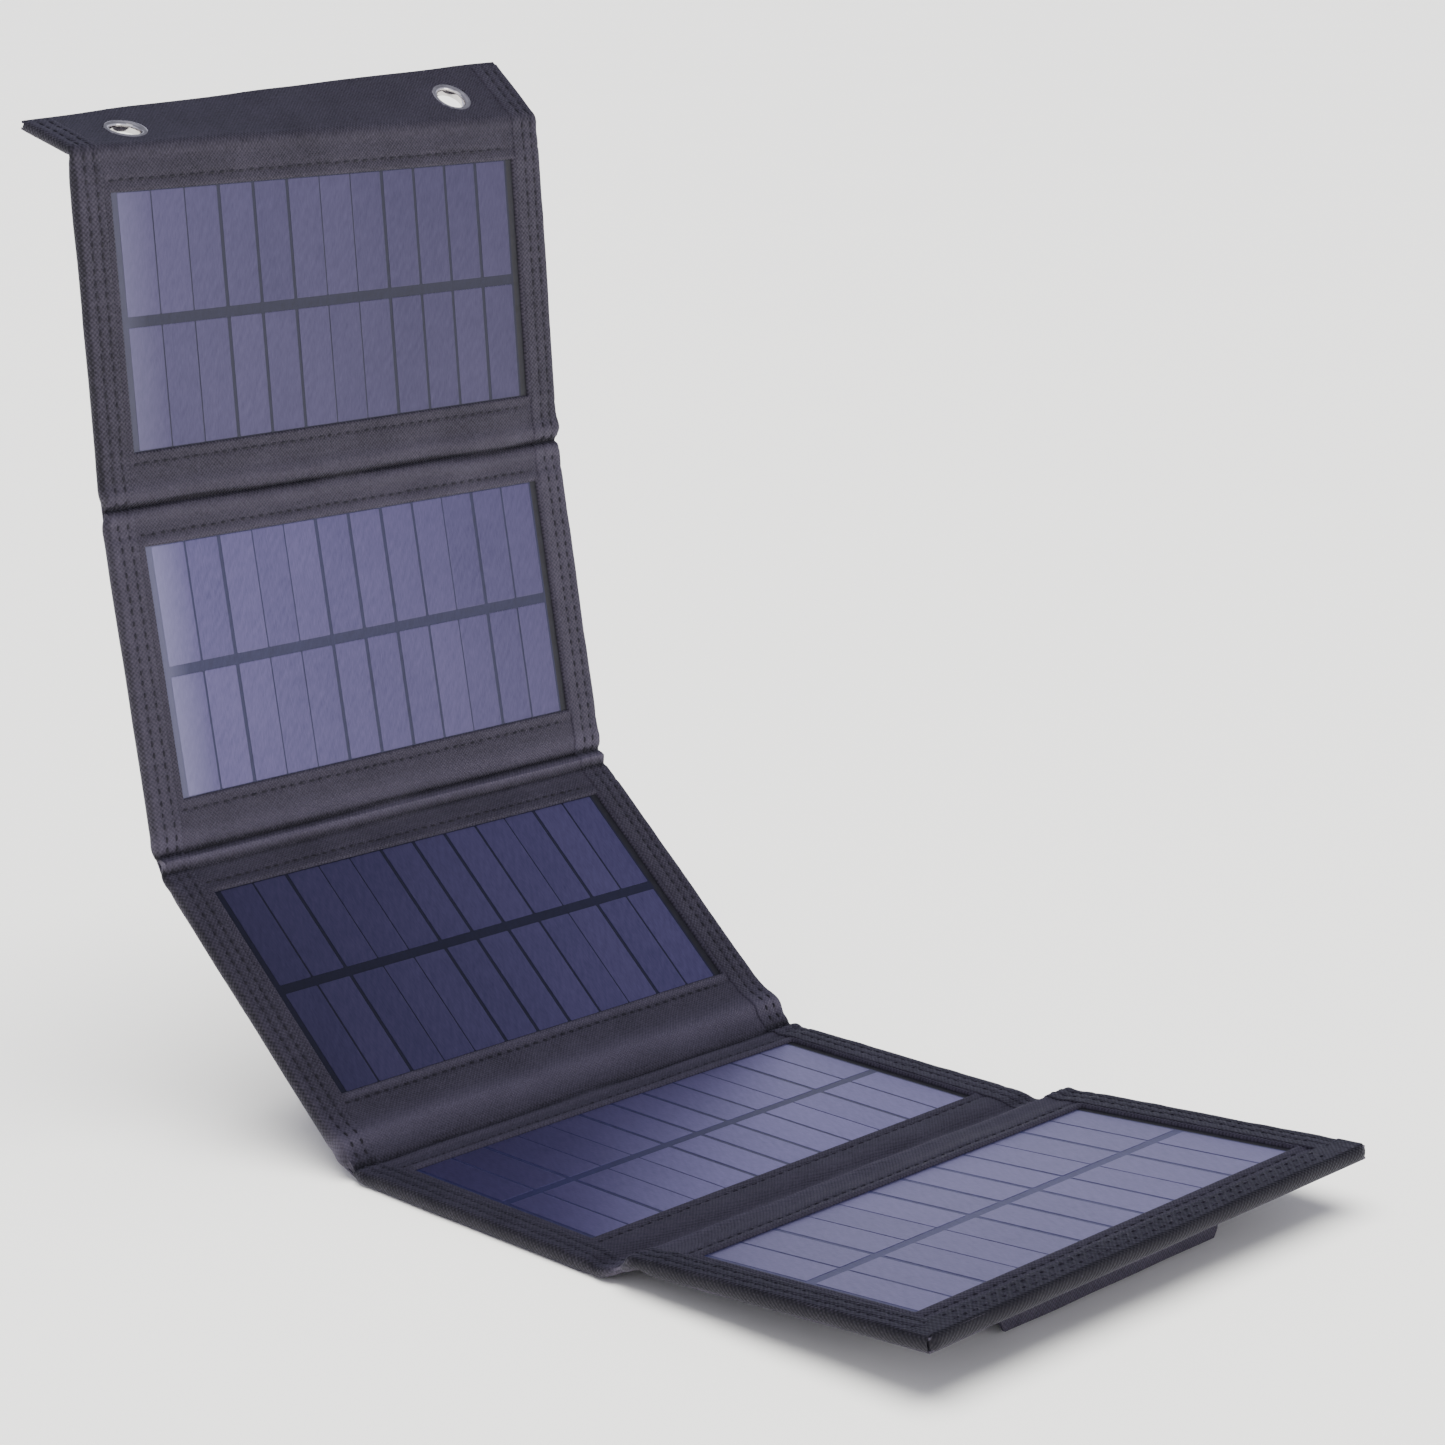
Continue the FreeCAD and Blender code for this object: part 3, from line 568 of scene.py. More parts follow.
def cell_material(name, dark, light, metallic, coat):
    """Silicon, or the sheet behind it, under a clear and finely embossed film."""
    nodes = Nodes(name, Metallic=metallic, Roughness=0.44, Coat_Weight=coat, Coat_Roughness=0.3,
                  Specular_IOR_Level=0.25)
    uv = nodes.uv()
    stretched = nodes.node("ShaderNodeMapping", Vector=uv, Scale=(1.0, 0.16, 1.0))
    brushed = nodes.noise(stretched.outputs[0], 2600.0, 2.0)
    cloud = nodes.noise(uv, 30.0, 2.0)
    mixed = nodes.plus(nodes.math("MULTIPLY", nodes.field("tone"), 0.2), cloud, 0.2)
    mixed = nodes.plus(mixed, brushed, 0.4)
    turned = nodes.node("ShaderNodeMapping", Vector=uv, Rotation=(0, 0, math.radians(-60)))
    strokes = nodes.node("ShaderNodeMapping", Vector=turned.outputs[0], Scale=(0.25, 1.0, 1.0))
    slant = nodes.noise(strokes.outputs[0], 850.0, 1.0)
    mixed = nodes.plus(mixed, slant, 0.3)
    # The gain field scales the colour as painted reflection, and the haze field turns it pale
    # lavender grey.
    coloured = nodes.node("ShaderNodeVectorMath", {"operation": "SCALE"},
                          i0=nodes.ramp(mixed, dark, light), Scale=nodes.field("gain"))
    nodes.link(nodes.mix(nodes.field("haze"), coloured.outputs[0], HAZE), "Base Color")
    embossed = nodes.noise(uv, 1500.0, 2.0)
    nodes.bump(nodes.math("ADD", embossed, brushed), FILM_BUMP)
    return nodes.material


def plain_material(name, dark, light, scale, **sockets):
    """Moulded or metal stock with slight unevenness."""
    bump = sockets.pop("bump", 0.00002)
    nodes = Nodes(name, **sockets)
    place = nodes.node("ShaderNodeTexCoord").outputs["Object"]
    grain = nodes.noise(place, scale)
    nodes.link(nodes.ramp(grain, dark, light), "Base Color")
    nodes.bump(grain, bump)
    return nodes.material


CARRIER = cloth_material("carrier_fabric", (0.0105, 0.009, 0.0135), (0.103, 0.0885, 0.123),
                         0.52 * MM, 0.00016)
EDGE_TAPE = cloth_material("edge_tape", (0.0095, 0.0082, 0.0122), (0.106, 0.091, 0.127),
                           0.62 * MM, 0.00014, 0.08)
# The thread is darker than the fabric, partly its own colour and partly painted shade for the
# dimples that the stitches sink into.
THREAD = cloth_material("sewing_thread", (0.005, 0.0045, 0.0065), (0.042, 0.037, 0.05),
                        0.16 * MM, 0.00004, 0.05)
BACKSHEET = cell_material("laminate_backsheet", (0.0045, 0.0045, 0.0145), (0.009, 0.009, 0.027),
                          0.0, 0.14)
SILICON = cell_material("solar_cell", (0.057, 0.05, 0.122), (0.105, 0.089, 0.19), 1.0, 0.42)
NICKEL = plain_material("eyelet_metal", (0.42, 0.40, 0.40), (0.58, 0.56, 0.55), 400.0,
                        Metallic=1.0, Roughness=0.12, bump=0.000008)
# A dark sheet painted on the laminate right of the cells, as the shadow that the edge tape casts
# there.
SHADOW_STRIP = plain_material("laminate_rim", (0.006, 0.0055, 0.009), (0.011, 0.01, 0.016), 400.0,
                     Roughness=0.65)
BOARD = plain_material("backing_board", (0.10, 0.085, 0.06), (0.17, 0.15, 0.11), 300.0,
                       Roughness=0.8)
COPPER = plain_material("lead_metal", (0.50, 0.44, 0.40), (0.72, 0.66, 0.60), 500.0,
                        Metallic=1.0, Roughness=0.35)
PLASTIC = plain_material("case_plastic", (0.012, 0.012, 0.014), (0.03, 0.03, 0.034), 1500.0,
                         Roughness=0.5, bump=0.00006)
CIRCUIT = plain_material("circuit_board", (0.01, 0.07, 0.03), (0.02, 0.14, 0.06), 200.0,
                         Roughness=0.4, Coat_Weight=0.6)
STEEL = plain_material("socket_steel", (0.55, 0.55, 0.56), (0.75, 0.75, 0.76), 600.0,
                       Metallic=1.0, Roughness=0.28)
LENS = plain_material("status_light", (0.10, 0.35, 0.12), (0.16, 0.5, 0.2), 300.0,
                      Roughness=0.25, Coat_Weight=0.8)
LOOPS = cloth_material("hook_and_loop", (0.012, 0.012, 0.014), (0.05, 0.05, 0.055),
                       0.7 * MM, 0.0005, 0.3)


# ---- The carrier fabric, its edge tape and its stitches ----
def strip_uv(half, points):
    """UVs in metres, running on from panel to panel."""
    return np.stack([points[:, 0], points[:, 1] + 0.1 * half.number], axis=1)


def ring_uv(half, rings, run):
    """UVs in metres that go round each ring of a tape, and on along it."""
    steps = np.linalg.norm(np.diff(rings, axis=1, prepend=rings[:, :1]), axis=2)
    around = np.cumsum(steps, axis=1)
    along = np.repeat(np.asarray(run)[:, None], rings.shape[1], axis=1)
    return np.stack([around.ravel(), along.ravel() + 0.1 * half.number], axis=1)


def strip_piece(half, name, points, faces, material, slot, uvs=None, **fields):
    """A piece given in panel coordinates, put in place, and fixed to its panel where its half has
    no fold.
    """
    uvs = strip_uv(half, points) if uvs is None else uvs
    piece = make_piece(name, half.place(points), faces, uvs, [material], **fields)
    half.attach(piece)
    return piece


def clear_of_eyelets(half, x, s):
    """Which cells of a grid lie clear of the holes for the flap's eyelets."""
    clear = np.ones((x.shape[0] - 1, x.shape[1] - 1), bool)
    if half.fold == "flap":
        for side in SIDES:
            apart = np.hypot(x - side * EYELET_X, s - half.rise - EYELET_RISE)
            near = np.minimum(np.minimum(apart[1:, 1:], apart[:-1, 1:]),
                              np.minimum(apart[1:, :-1], apart[:-1, :-1]))
            clear &= near > EYELET_BORE + 0.5 * MM
    return clear


def make_front(half):
    """The front fabric of a half, cut out round the window, with its hem turned under."""
    out = window_lines(HALF_WINDOW_X, CLOTH_EDGE, 1.3 * MM)
    xs = np.concatenate([-out[::-1], spaced((-HALF_WINDOW_X, HALF_WINDOW_X, 1.5 * MM))[1:-1], out])
    end = half.length if half.fold else half.length - CUT_BACK
    ss = np.concatenate([spaced((0, HALF_WINDOW_T, 2.4 * MM))[:-1],
                         window_lines(HALF_WINDOW_T, end, 0.8 * MM)])
    x, s = np.meshgrid(xs, ss)
    height = half.front(x, s)
    under = np.minimum(height - 0.04 * MM, np.maximum(height - CLOTH, FILM_TOP - 0.02 * MM))
    beyond_board = s > HALF_WINDOW_T + 2.3 * MM
    under = np.where(beyond_board | (np.abs(x) > HALF_WINDOW_X + 2.3 * MM), height - CLOTH, under)
    top = np.stack([x, s * half.side, height], axis=-1)
    bottom = np.stack([x, s * half.side, under], axis=-1)
    middle_x = (xs[1:] + xs[:-1]) / 2
    middle_s = (ss[1:] + ss[:-1]) / 2
    keep = (np.abs(middle_x)[None, :] > HALF_WINDOW_X) | (middle_s[:, None] > HALF_WINDOW_T)
    keep &= clear_of_eyelets(half, x, s)
    points, faces = closed_sheet(top, bottom, keep)
    # The front cloth carries its painted shade and painted light as a point field.
    shade = half.shade(points[:, 0], np.abs(points[:, 1]))
    piece = strip_piece(half, half.name + "_front_cloth", points, faces, CARRIER,
                        "carrier_fabric", shade=shade)
    return piece


def make_back(half):
    """The back fabric of a half."""
    xs = spaced((-CLOTH_EDGE, CLOTH_EDGE, 2.0 * MM))
    end = half.length if half.fold else half.length - CUT_BACK
    hem = HALF_WINDOW_T + 4.4 * MM
    ss = spaced((0, hem, 3 * MM), (hem, end, 0.8 * MM))
    x, s = np.meshgrid(xs, ss)
    swell = 0.12 * MM * ripple(x, s * half.side, SEED_BACK + half.number, 40 * MM)
    if half.fold in FOLD_SHAPE:
        swell = swell * smooth((half.length - s) / (4 * MM))
    low = half.back(s) + UNDER_BOARD + swell
    if half.fold == "flap":
        low = np.where(s > half.rise, np.maximum(low, FOLD_BACK + 0.1 * MM), low)
    if half.fold in FOLD_SHAPE:
        low = np.minimum(low, half.front(x, s) - 2 * CLOTH - 0.1 * MM)
    top = np.stack([x, s * half.side, low + CLOTH], axis=-1)
    bottom = np.stack([x, s * half.side, low], axis=-1)
    points, faces = closed_sheet(top, bottom, clear_of_eyelets(half, x, s))
    piece = strip_piece(half, half.name + "_back_cloth", points, faces, CARRIER,
                        "carrier_fabric")
    return piece


def folded(flat, top, low, turn, reach):
    """The section of a tape: over the cloth at top, round the turn, and back at low."""
    middle, radius = (top[-1] + TAPE + low) / 2, (top[-1] + TAPE - low) / 2
    bend = np.radians(np.linspace(75, -75, 9))
    edge = np.stack([turn + reach * np.cos(bend), middle + radius * np.sin(bend)], 1)
    inside = np.stack([turn + (reach - TAPE) * np.cos(bend),
                       middle + (radius - TAPE) * np.sin(bend)], 1)
    face = top + TAPE * rounded(flat - flat[0], TAPE_ROUND)
    return np.concatenate([np.stack([flat, face], 1), edge,
                           np.stack([flat[::-1], np.full(flat.shape, low)], 1),
                           np.stack([flat, np.full(flat.shape, low + TAPE)], 1), inside[::-1],
                           np.stack([flat[::-1], top[::-1] - 0.01 * MM], 1)])


def tape_ring(half, side, s):
    """One section of the tape that is folded over the strip's left or right edge."""
    inner = TAPE_INNER[side]
    flat = inner + np.concatenate([HEM_STEPS, spaced((1.4 * MM, TAPE_TURN - inner, 0.5 * MM))])
    top = half.tape_front(side * flat, np.full(flat.shape, s)) - TAPE
    low = min(float(half.back(s)), top[-1] + TAPE - 1.4 * MM)
    ring = folded(flat, top, low, TAPE_TURN + float(half.edge(side, s)), TAPE_REACH)
    return np.stack([side * ring[:, 0], np.full(len(ring), s * half.side), ring[:, 1]], 1)


def make_tape(half, side):
    """The edge tape along one side of a half."""
    end = half.length if half.fold else half.length - 1.0 * MM
    if half.fold == "flap":
        end = half.rise + TAPE_ON_FLAP
    stops = spaced((0, half.rise - 9 * MM, 2.2 * MM), (half.rise - 8 * MM, end, 0.7 * MM))
    rings = np.stack([tape_ring(half, side, s) for s in stops])
    points, faces = loft(rings)
    x = np.abs(points[:, 0])
    # Painted shade: the tape's amount for its panel, more on its turned outer edge and in the
    # dimples along its two seams.
    shade = half.shade(points[:, 0], np.abs(points[:, 1])) + TAPE_SHADE[half.number]
    shade = shade + 0.6 * smooth((x - 75.4 * MM) / (0.8 * MM))
    for inset in SEAMS:
        shade = shade + 0.22 * hump(x, HALF_STRIP - inset * MM, 0.55 * MM)
    piece = strip_piece(half, "%s_tape_%s" % (half.name, SIDES[side]), points, faces,
                        EDGE_TAPE, "edge_tape", ring_uv(half, rings, half.side * stops),
                        shade=shade)
    return piece


def stitch(start, end, height):
    """Rings of one stitch, a short thread that dips into the cloth at both ends."""
    count, around = 6, 6
    along = end - start
    length = np.linalg.norm(along)
    across = np.array([-along[1], along[0]]) / length
    rings = []
    for step in np.linspace(0, 1, count):
        middle = start + along * step
        lift = STITCH_RADIUS * (2.0 * math.sin(math.pi * step) ** 0.7 - 1.4) - STITCH_SINK
        ring = []
        for turn in np.arange(around) * 2 * math.pi / around:
            beside = middle + across * STITCH_HALF_WIDTH * math.cos(turn)
            ring.append((*beside, height + lift + STITCH_RADIUS * math.sin(turn)))
        rings.append(ring)
    return loft(np.array(rings))


def stitch_row(half, start, end, surface):
    """Stitches along a straight line on a half's surface, in panel coordinates."""
    start, end = np.array(start), np.array(end)
    length = np.linalg.norm(end - start)
    along = (end - start) / length
    sideways = along == 0
    random = np.random.default_rng(half.number)
    parts = []
    for index in range(int(length / STITCH_PITCH)):
        first = start + along * (index + random.uniform(0.1, 0.2)) * STITCH_PITCH
        first = first + random.uniform(-0.15, 0.15, 2) * MM * sideways
        second = first + along * STITCH_LENGTH * random.uniform(0.75, 1.0)
        middle = (first + second) / 2
        height = float(surface(middle[0], abs(middle[1])))
        parts.append(stitch(first, second, height))
    return parts


def make_stitches(half):
    """The seams that hold the tape, and the hems above and below the window."""
    parts = []
    end = half.length if half.fold else half.length - 3 * MM
    if half.fold == "flap":
        end = half.rise + TAPE_ON_FLAP - 0.5 * MM
    for side in SIDES:
        for inset in SEAMS:
            x = side * (HALF_STRIP - inset * MM)
            parts += stitch_row(half, (x, 0), (x, half.side * end), half.tape_front)
    t = half.side * (HALF_WINDOW_T + HEM * MM)
    parts += stitch_row(half, (MM - TAPE_INNER[-1], t), (TAPE_INNER[1] - MM, t), half.front)
    points, faces = joined(parts)
    # The stitches take the tape's painted shade, a little lessened.
    shade = np.full(len(points), TAPE_SHADE[half.number] + PALE_THREAD)
    thread = THREAD if half.number < 4 else EDGE_TAPE
    strip_piece(half, half.name + "_stitches", points, faces, thread, "edge_tape", shade=shade)


# ---- The laminate with its cells ----
CELL_COLUMNS = 12
# The gaps between the cell strips, in mm, and those of panel 1
CELL_GAPS = (0.6, 1.1, 0.35, 0.35, 1.1, 1.1, 1.1, 0.8, 0.35, 1.1, 0.6)
TOP_CELL_GAPS = (0.35, 0.35, 1.1, 1.0, 1.0, 0.35, 0.35, 1.1, 0.9, 0.9, 1.1)
CELL_LEFT = -64.0 * MM
CELL_WIDTH = 9.9 * MM
CELL_LENGTH = 31.0 * MM
CELL_ROW = 16.9 * MM            # from the middle of the window to the middle of a row
CELL_RISE = 0.07 * MM
UNDER_HEM = 2.1 * MM            # how far the laminate goes under the hem
CELL_SLOT, SHADOW_STRIP_SLOT = 1, 2      # of a laminate's materials
# How bright each panel's cells are painted in its middle and how much brighter at its right, which
# is painted reflection of the room as each panel faces it, and how much the colour turns pale
# lavender grey at its left edge
CELL_LOOK = {1: (0.5, -0.05, 0.14), 2: (0.77, -0.13, 0.32), 3: (1.1, 0.33, 0.0),
             4: (2.05, -0.05, 0.0), 5: (1.65, 0.1, 0.0)}
# How much brighter the sheet between the cells is painted, against the cells' own gain, as painted
# reflection
GAP_GAIN = {1: 2.5, 2: 3.5, 3: 1.0, 4: 2.2, 5: 4.2}


def cell_plate(x0, x1, t0, t1, low, high, corner):
    """A thin plate with small rounded corners and a softened top edge."""
    ring = []
    for cx, ct, start in ((x1 - corner, t1 - corner, 0), (x0 + corner, t1 - corner, 90),
                          (x0 + corner, t0 + corner, 180), (x1 - corner, t0 + corner, 270)):
        for angle in np.radians(start + np.linspace(0, 90, 4)):
            ring.append((cx + corner * math.cos(angle), ct + corner * math.sin(angle)))
    ring = np.array(ring)
    centre = np.array([(x0 + x1) / 2, (t0 + t1) / 2])
    inset = centre + (ring - centre) * (1 - 0.12 * MM / (np.abs(ring - centre) + 1e-9))
    layers = [(ring, low), (ring, high - 0.02 * MM), (inset, high)]
    return loft(np.array([np.column_stack([outline, np.full(len(outline), height)])
                          for outline, height in layers]))


def make_laminate(panel):
    """The film-covered sheet of 24 cell strips behind a panel's window."""
    edge_x, edge_t = HALF_WINDOW_X + UNDER_HEM, HALF_WINDOW_T + UNDER_HEM
    xs = spaced((-edge_x, CELL_LEFT, 1 * MM), (CELL_LEFT, -CELL_LEFT, 3 * MM),
                (-CELL_LEFT, edge_x, 1 * MM))
    ts = spaced((-edge_t, edge_t, 3 * MM))
    x, t = np.meshgrid(xs, ts)
    height = FILM_TOP - CELL_RISE + 0.02 * MM * ripple(x, t, SEED_FILM + panel.number, 25 * MM)
    height -= 0.06 * MM * smooth((np.abs(x) - 65 * MM) / (2 * MM))
    top = np.stack([x, t, height], axis=-1)
    bottom = np.stack([x, t, np.full(x.shape, 0.5 * MM)], axis=-1)
    parts = [closed_sheet(top, bottom)]
    # The strip right of the cells is painted dark as the edge tape's shadow.
    right_of_cells = parts[0][0][:, 0] > -CELL_LEFT - 0.1 * MM
    slots = [SHADOW_STRIP_SLOT if all(right_of_cells[list(face)]) else 0 for face in parts[0][1]]
    tones = [0.5] * (2 * x.size)
    random = np.random.default_rng(panel.number)
    gain, slope, haze = CELL_LOOK[panel.number]
    gaps = TOP_CELL_GAPS if panel.number == 1 else CELL_GAPS
    left = CELL_LEFT
    for column in range(CELL_COLUMNS):
        for row in (-1, 1):
            centre = row * CELL_ROW
            plate = cell_plate(left, left + CELL_WIDTH, centre - CELL_LENGTH / 2,
                               centre + CELL_LENGTH / 2, 0.9 * MM, FILM_TOP, 0.35 * MM)
            parts.append(plate)
            slots += [CELL_SLOT] * len(plate[1])
            tones += [random.uniform(0.2, 0.8)] * len(plate[0])
        left += CELL_WIDTH + (gaps[column] * MM if column < len(gaps) else 0)
    points, faces = joined(parts)
    uvs = np.stack([points[:, 0], points[:, 1] + 0.1 * panel.number], axis=1)
    across = points[:, 0] / HALF_WINDOW_X
    # Painted reflection: the panel's cell brightness, changing across it, and more on the sheet
    # between the cells.
    gap_reflection = np.where(np.arange(len(points)) < 2 * x.size, GAP_GAIN[panel.number], 1)
    piece = make_piece(panel.body + "_laminate", panel.place(points), faces, uvs,
                       [BACKSHEET, SILICON, SHADOW_STRIP], slots, 4, tone=tones,
                       gain=(gain + slope * across) * gap_reflection,
                       haze=haze * smooth((-0.86 - across) / 0.13))
    panel.attach(piece)
    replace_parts(piece, panel.body + "_face_film", panel.body + "_cells")


# ---- The end tape, the eyelets, and the pouch behind panel 5 ----
def make_end_tape(half):
    """The tape folded over the strip's free end, under the ends of the side tapes."""
    turn = half.length - 1.3 * MM
    flat = np.concatenate([END_TAPE_INNER + HEM_STEPS,
                           spaced((END_TAPE_INNER + 1.6 * MM, turn, 0.9 * MM))])
    rings = []
    for x in spaced((-END_TAPE_HALF, END_TAPE_HALF, 1.4 * MM)):
        shrink = math.sqrt(max(0.0, 1 - max(0.0, (abs(x) - 73.4 * MM) / (2.3 * MM)) ** 2))
        reach = TAPE_REACH * shrink + 0.25 * MM * float(ripple(x, 0.0, SEED_END, 30 * MM))
        top = half.front(np.full(flat.shape, x), flat)
        top = top + 0.08 * MM * ripple(x, flat, SEED_END + 1, 9 * MM)
        outline = folded(flat, top, BACK + 0.02 * MM, turn, reach)
        rings.append(np.stack([np.full(len(outline), x), -outline[:, 0], outline[:, 1]], 1))
    rings = np.stack(rings)
    points, faces = loft(rings)
    # Painted shade on the end tape, heavier on its outer end face.
    piece = strip_piece(half, "panel_5_end_tape", points, faces, EDGE_TAPE, "edge_tape",
                        ring_uv(half, rings, rings[:, 0, 0]),
                        shade=TAPE_SHADE[5] + 0.6 * (np.abs(points[:, 1]) > turn))
    parts = []
    for inset in END_SEAMS:
        t = -(half.length - inset)
        parts += stitch_row(half, (-66 * MM, t), (65 * MM, t),
                            lambda x, s: float(half.front(x, s)) + TAPE)
    points, faces = joined(parts)
    # The end stitches take the tape's painted shade, a little lessened.
    strip_piece(half, "panel_5_end_stitches", points, faces, EDGE_TAPE, "edge_tape",
                shade=np.full(len(points), TAPE_SHADE[5] + PALE_THREAD))


EYELET_PROFILE = ((3.9, -1.2), (3.9, 0.3), (4.0, 0.75), (4.3, 1.15), (4.8, 1.4), (5.4, 1.35),
                  (5.9, 1.1), (6.2, 0.75), (6.25, 0.5), (4.6, 0.45), (4.5, -0.7), (5.6, -0.75),
                  (6.1, -0.95), (6.15, -1.15), (5.7, -1.35), (4.6, -1.45), (4.1, -1.4))


def make_eyelet(half, side):
    """A rolled metal eyelet with its washer behind the flap."""
    around = 48
    rings = []
    for turn in np.arange(around) * 2 * math.pi / around:
        rings.append([(side * EYELET_X + r * MM * math.cos(turn),
                       half.rise + EYELET_RISE + r * MM * math.sin(turn), h * MM)
                      for r, h in EYELET_PROFILE])
    points, faces = loft(np.array(rings), endless=True)
    piece = make_piece("eyelet_" + SIDES[side], half.place(points), faces,
                       strip_uv(half, points), [NICKEL], sharp=70)
    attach(piece, "flap")
    return piece


def make_half(half):
    """All the soft pieces of a half, which stand for its panel's and its fold's CAD nodes."""
    front = make_front(half)
    back = make_back(half)
    make_stitches(half)
    tapes = [make_tape(half, side) for side in SIDES]
    body = half.panel.body
    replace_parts(front, body + "_front_fabric")
    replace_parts(back, body + "_back_fabric")
    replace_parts(tapes[0], body + "_binding")
    if half.fold:
        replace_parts(front, half.fold + "_fabric")
        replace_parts(tapes[0], half.fold + "_binding")


def underside(y):
    """How high panel 5's back lies over the floor."""
    panel = PANELS[-1]
    return panel.centre[1] + (y - panel.centre[0]) * math.tan(panel.tilt) + BACK + 0.15 * MM


# The pouch's section from its sewn edge inwards: how far out, and how far up towards the panel
POUCH_SECTION = ((3.4, 1.0), (2.0, 1.0), (0.9, 0.99), (0.35, 0.95), (0.1, 0.86), (0.05, 0.72),
                 (0.12, 0.56), (0.1, 0.4), (-0.1, 0.25), (-0.5, 0.13), (-1.2, 0.05),
                 (-2.2, 0.01), (-3.4, 0.0))
POUCH_STEP = 2.2 * MM
POUCH_WALL = 0.6 * MM
MOUTH_HALF = 22.5 * MM          # the mouth that the sockets look out of
COVER_THICKNESS = 0.85 * MM


def pouch_axis(low, high):
    """Positions and rises from one sewn edge of the pouch to the other."""
    out = np.array([item[0] for item in POUCH_SECTION]) * MM
    rise = np.array([item[1] for item in POUCH_SECTION])
    flat = spaced((low + 4.6 * MM, high - 4.6 * MM, POUCH_STEP))
    places = np.concatenate([low - out, flat, (high + out)[::-1]])
    return places, np.concatenate([rise, 0 * flat, rise[::-1]])


def make_pouch():
    """The pocket for the controller, sewn behind panel 5 and standing on the floor."""
    low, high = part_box("pouch_fabric")
    xs, rise_x = pouch_axis(low.x, high.x)
    ys, rise_y = pouch_axis(low.y, high.y)
    x, y = np.meshgrid(xs, ys)
    rise = 1 - (1 - rise_x)[None, :] * (1 - rise_y)[:, None]
    wall = 4 * rise * (1 - rise)
    uneven = 1 + ripple(x, y, SEED_POUCH, 22 * MM)
    floor_gap = 0.15 * MM + 0.2 * MM * smooth(rise * 8) * uneven
    height = floor_gap + (underside(y) - floor_gap) * rise
    bulge_x = ripple(y, height, SEED_POUCH + 1, 18 * MM) * (rise_x > 0)[None, :]
    bulge_y = ripple(x, height, SEED_POUCH + 2, 24 * MM) * (rise_y > 0)[:, None]
    bulge = 0.5 * MM * wall
    outer = np.stack([x + bulge * bulge_x, y + bulge * bulge_y, height], axis=-1)
    inner = lining(outer, POUCH_WALL, (len(ys) // 2, len(xs) // 2, 2))
    middle_x = (xs[1:] + xs[:-1]) / 2
    front = (ys[:-1] < low.y + 3 * MM) & (rise_y[:-1] > 0.02)
    mouth = (np.abs(middle_x) < MOUTH_HALF)[None, :] & front[:, None]
    points, faces = closed_sheet(outer, inner, ~mouth)
    uvs = np.stack([points[:, 0] + points[:, 2], points[:, 1] + 0.7 * points[:, 2]], axis=1)
    piece = make_piece("pouch_cloth", points, faces, uvs, [CARRIER], sharp=60)
    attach(piece, "panel_5")
    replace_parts(piece, "pouch_fabric")


def make_cover():
    """The flap of fabric that hangs over the pouch's mouth."""
    low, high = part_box("port_cover_fabric")
    crease = joint_point("port_cover_fold")
    face = low.y
    path = [(face - out * MM, underside(face - out * MM) - gap * MM)
            for out, gap in ((5.2, 0.1), (3.0, 0.1), (1.4, 0.15))]
    path += [(face - 0.55 * MM, crease[1] + 0.45 * MM), (face - 0.1 * MM, crease[1] - 0.5 * MM)]
    for drop in np.linspace(1.6 * MM, crease[1] - low.z, 9):
        path.append((face + 0.02 * MM, crease[1] - drop))
    path = np.array(path)
    half = high.x - 0.2 * MM
    xs = spaced((-half, half, 1.6 * MM))
    rows = []
    for index, (y, z) in enumerate(path):
        narrow = 1 - 0.035 * smooth((index - len(path) + 4) / 3.0) ** 2
        bow = 0.16 * MM * ripple(xs, z, SEED_COVER, 26 * MM) * smooth((index - 3) / 4.0)
        rows.append(np.stack([xs * narrow, y + bow, np.full(len(xs), z)], axis=-1))
    outer = np.stack(rows)
    inner = lining(outer, COVER_THICKNESS, (-1, 0, 1))
    points, faces = closed_sheet(outer, inner)
    uvs = np.stack([points[:, 0], points[:, 2] + points[:, 1]], axis=1)
    piece = make_piece("port_cover_cloth", points, faces, uvs, [CARRIER], sharp=60)
    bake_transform(piece)
    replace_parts(piece, "port_cover_fabric")


for panel in PANELS:
    make_laminate(panel)
make_pouch()
make_cover()
for half in HALVES:
    make_half(half)
make_end_tape(HALVES[-1])
for side in SIDES:
    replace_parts(make_eyelet(HALVES[0], side), "eyelets", "eyelet_washers")


# ---- A material for every CAD node that stays ----
KEPT = {"_board": BOARD, "_leads": COPPER, "circuit_board": CIRCUIT, "case_bottom": PLASTIC,
        "case_top": PLASTIC, "usb_sockets": STEEL, "status_light": LENS,
        "loop_patches": LOOPS, "hook_patches": LOOPS}
for name, node in frame["nodes"].items():
    for ending, material in KEPT.items():
        if name.endswith(ending):
            for slot in node.material_slots:
                slot.material = material


# ---- Floor, light and camera ----
def make_floor():
    """A plain pale floor, large enough to fade out behind the object."""
    mesh = bpy.data.meshes.new("floor")
    corners = ((-1, -1), (1, -1), (1, 1), (-1, 1))
    mesh.from_pydata([(40.0 * x, 40.0 * y, 0) for x, y in corners], [], [(0, 1, 2, 3)])
    floor = bpy.data.objects.new("floor", mesh)
    SHOWN.link(floor)
    mesh.materials.append(plain_material("floor", (0.95, 0.94, 0.87), (0.96, 0.95, 0.88), 3.0,
                                         Roughness=0.7))
    return floor


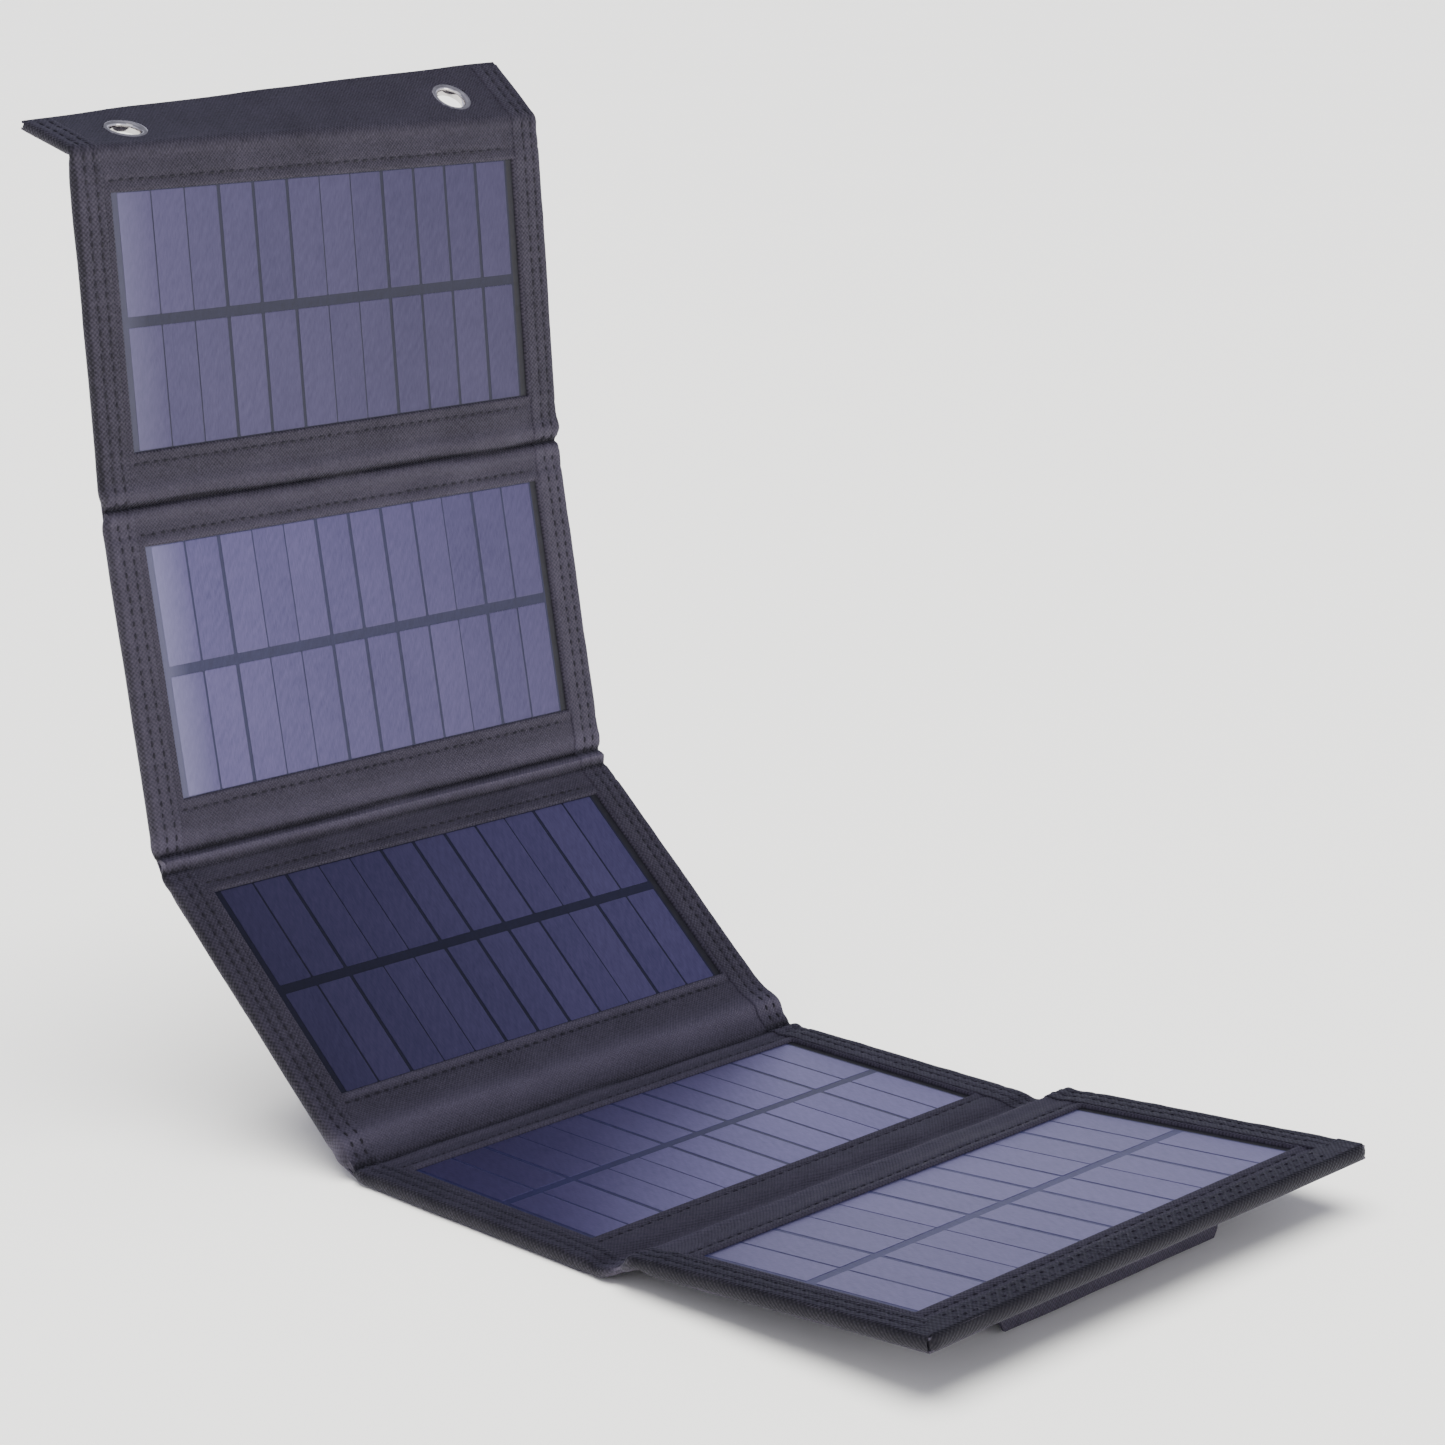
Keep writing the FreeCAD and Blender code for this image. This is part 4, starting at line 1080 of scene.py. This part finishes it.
def make_world():
    """Soft light from all round, brighter at the horizon than overhead."""
    world = bpy.data.worlds.new("studio")
    world.use_nodes = True
    tree = world.node_tree
    background = tree.nodes["Background"]
    place = tree.nodes.new("ShaderNodeTexCoord")
    parts = tree.nodes.new("ShaderNodeSeparateXYZ")
    ramp = tree.nodes.new("ShaderNodeValToRGB")
    tree.links.new(place.outputs["Generated"], parts.inputs[0])
    tree.links.new(parts.outputs[2], ramp.inputs[0])
    tree.links.new(ramp.outputs[0], background.inputs[0])
    stops = ramp.color_ramp.elements
    stops[0].position, stops[0].color = 0.0, (0.8, 0.8, 0.98, 1)
    stops[1].position, stops[1].color = 1.0, (0.46, 0.46, 0.57, 1)
    for height, level in ((0.36, 0.8), (0.55, 0.25), (0.85, 0.3)):
        stops.new(height).color = (0.93 * level, 0.94 * level, 1.16 * level, 1)
    background.inputs[1].default_value = 1.4
    bpy.context.scene.world = world


def make_lamp(name, kind, location, energy):
    """A light and the object that holds it."""
    light = bpy.data.lights.new(name, kind)
    light.energy = energy
    lamp = bpy.data.objects.new(name, light)
    lamp.location = location
    SHOWN.link(lamp)
    return light, lamp


def make_overhead(floor):
    """Even, soft light from above for the floor alone, so that it stays pale all over."""
    light, lamp = make_lamp("overhead", "SUN", (0, 0, 3), 6.5)
    light.angle = math.radians(60)
    lit = bpy.data.collections.new("lit_from_above")
    lit.objects.link(floor)
    lamp.light_linking.receiver_collection = lit


def make_light(name, toward, distance, size, power):
    """A soft panel light that faces the object's middle from the given direction."""
    aim = Vector((0.0, 0.06, 0.12))
    place = aim + Vector(toward).normalized() * distance
    light, lamp = make_lamp(name, "AREA", place, power)
    light.shape = "RECTANGLE"
    light.size, light.size_y = size
    lamp.rotation_euler = (aim - place).to_track_quat("-Z", "Y").to_euler()


def make_camera(location, look, roll, lens):
    """A camera that looks in a direction, turned a little about its own line of sight."""
    camera = bpy.data.cameras.new("camera")
    camera.lens = lens
    holder = bpy.data.objects.new("camera", camera)
    holder.location = location
    holder.rotation_mode = "QUATERNION"
    holder.rotation_quaternion = look.to_track_quat("-Z", "Y") @ Quaternion((0, 0, 1), roll)
    SHOWN.link(holder)
    bpy.context.scene.camera = holder


ground = make_floor()
make_world()
make_light("key", (0.3, -0.95, 0.12), 1.5, (0.8, 0.45), 4)
make_light("fill", (-0.75, -0.5, 0.6), 1.8, (1.2, 1.2), 4)
make_overhead(ground)
make_camera((-0.5509, -0.5814, 0.2982), Vector((0.67618, 0.69974, -0.23052)),
            math.radians(-1.25), 84.3)
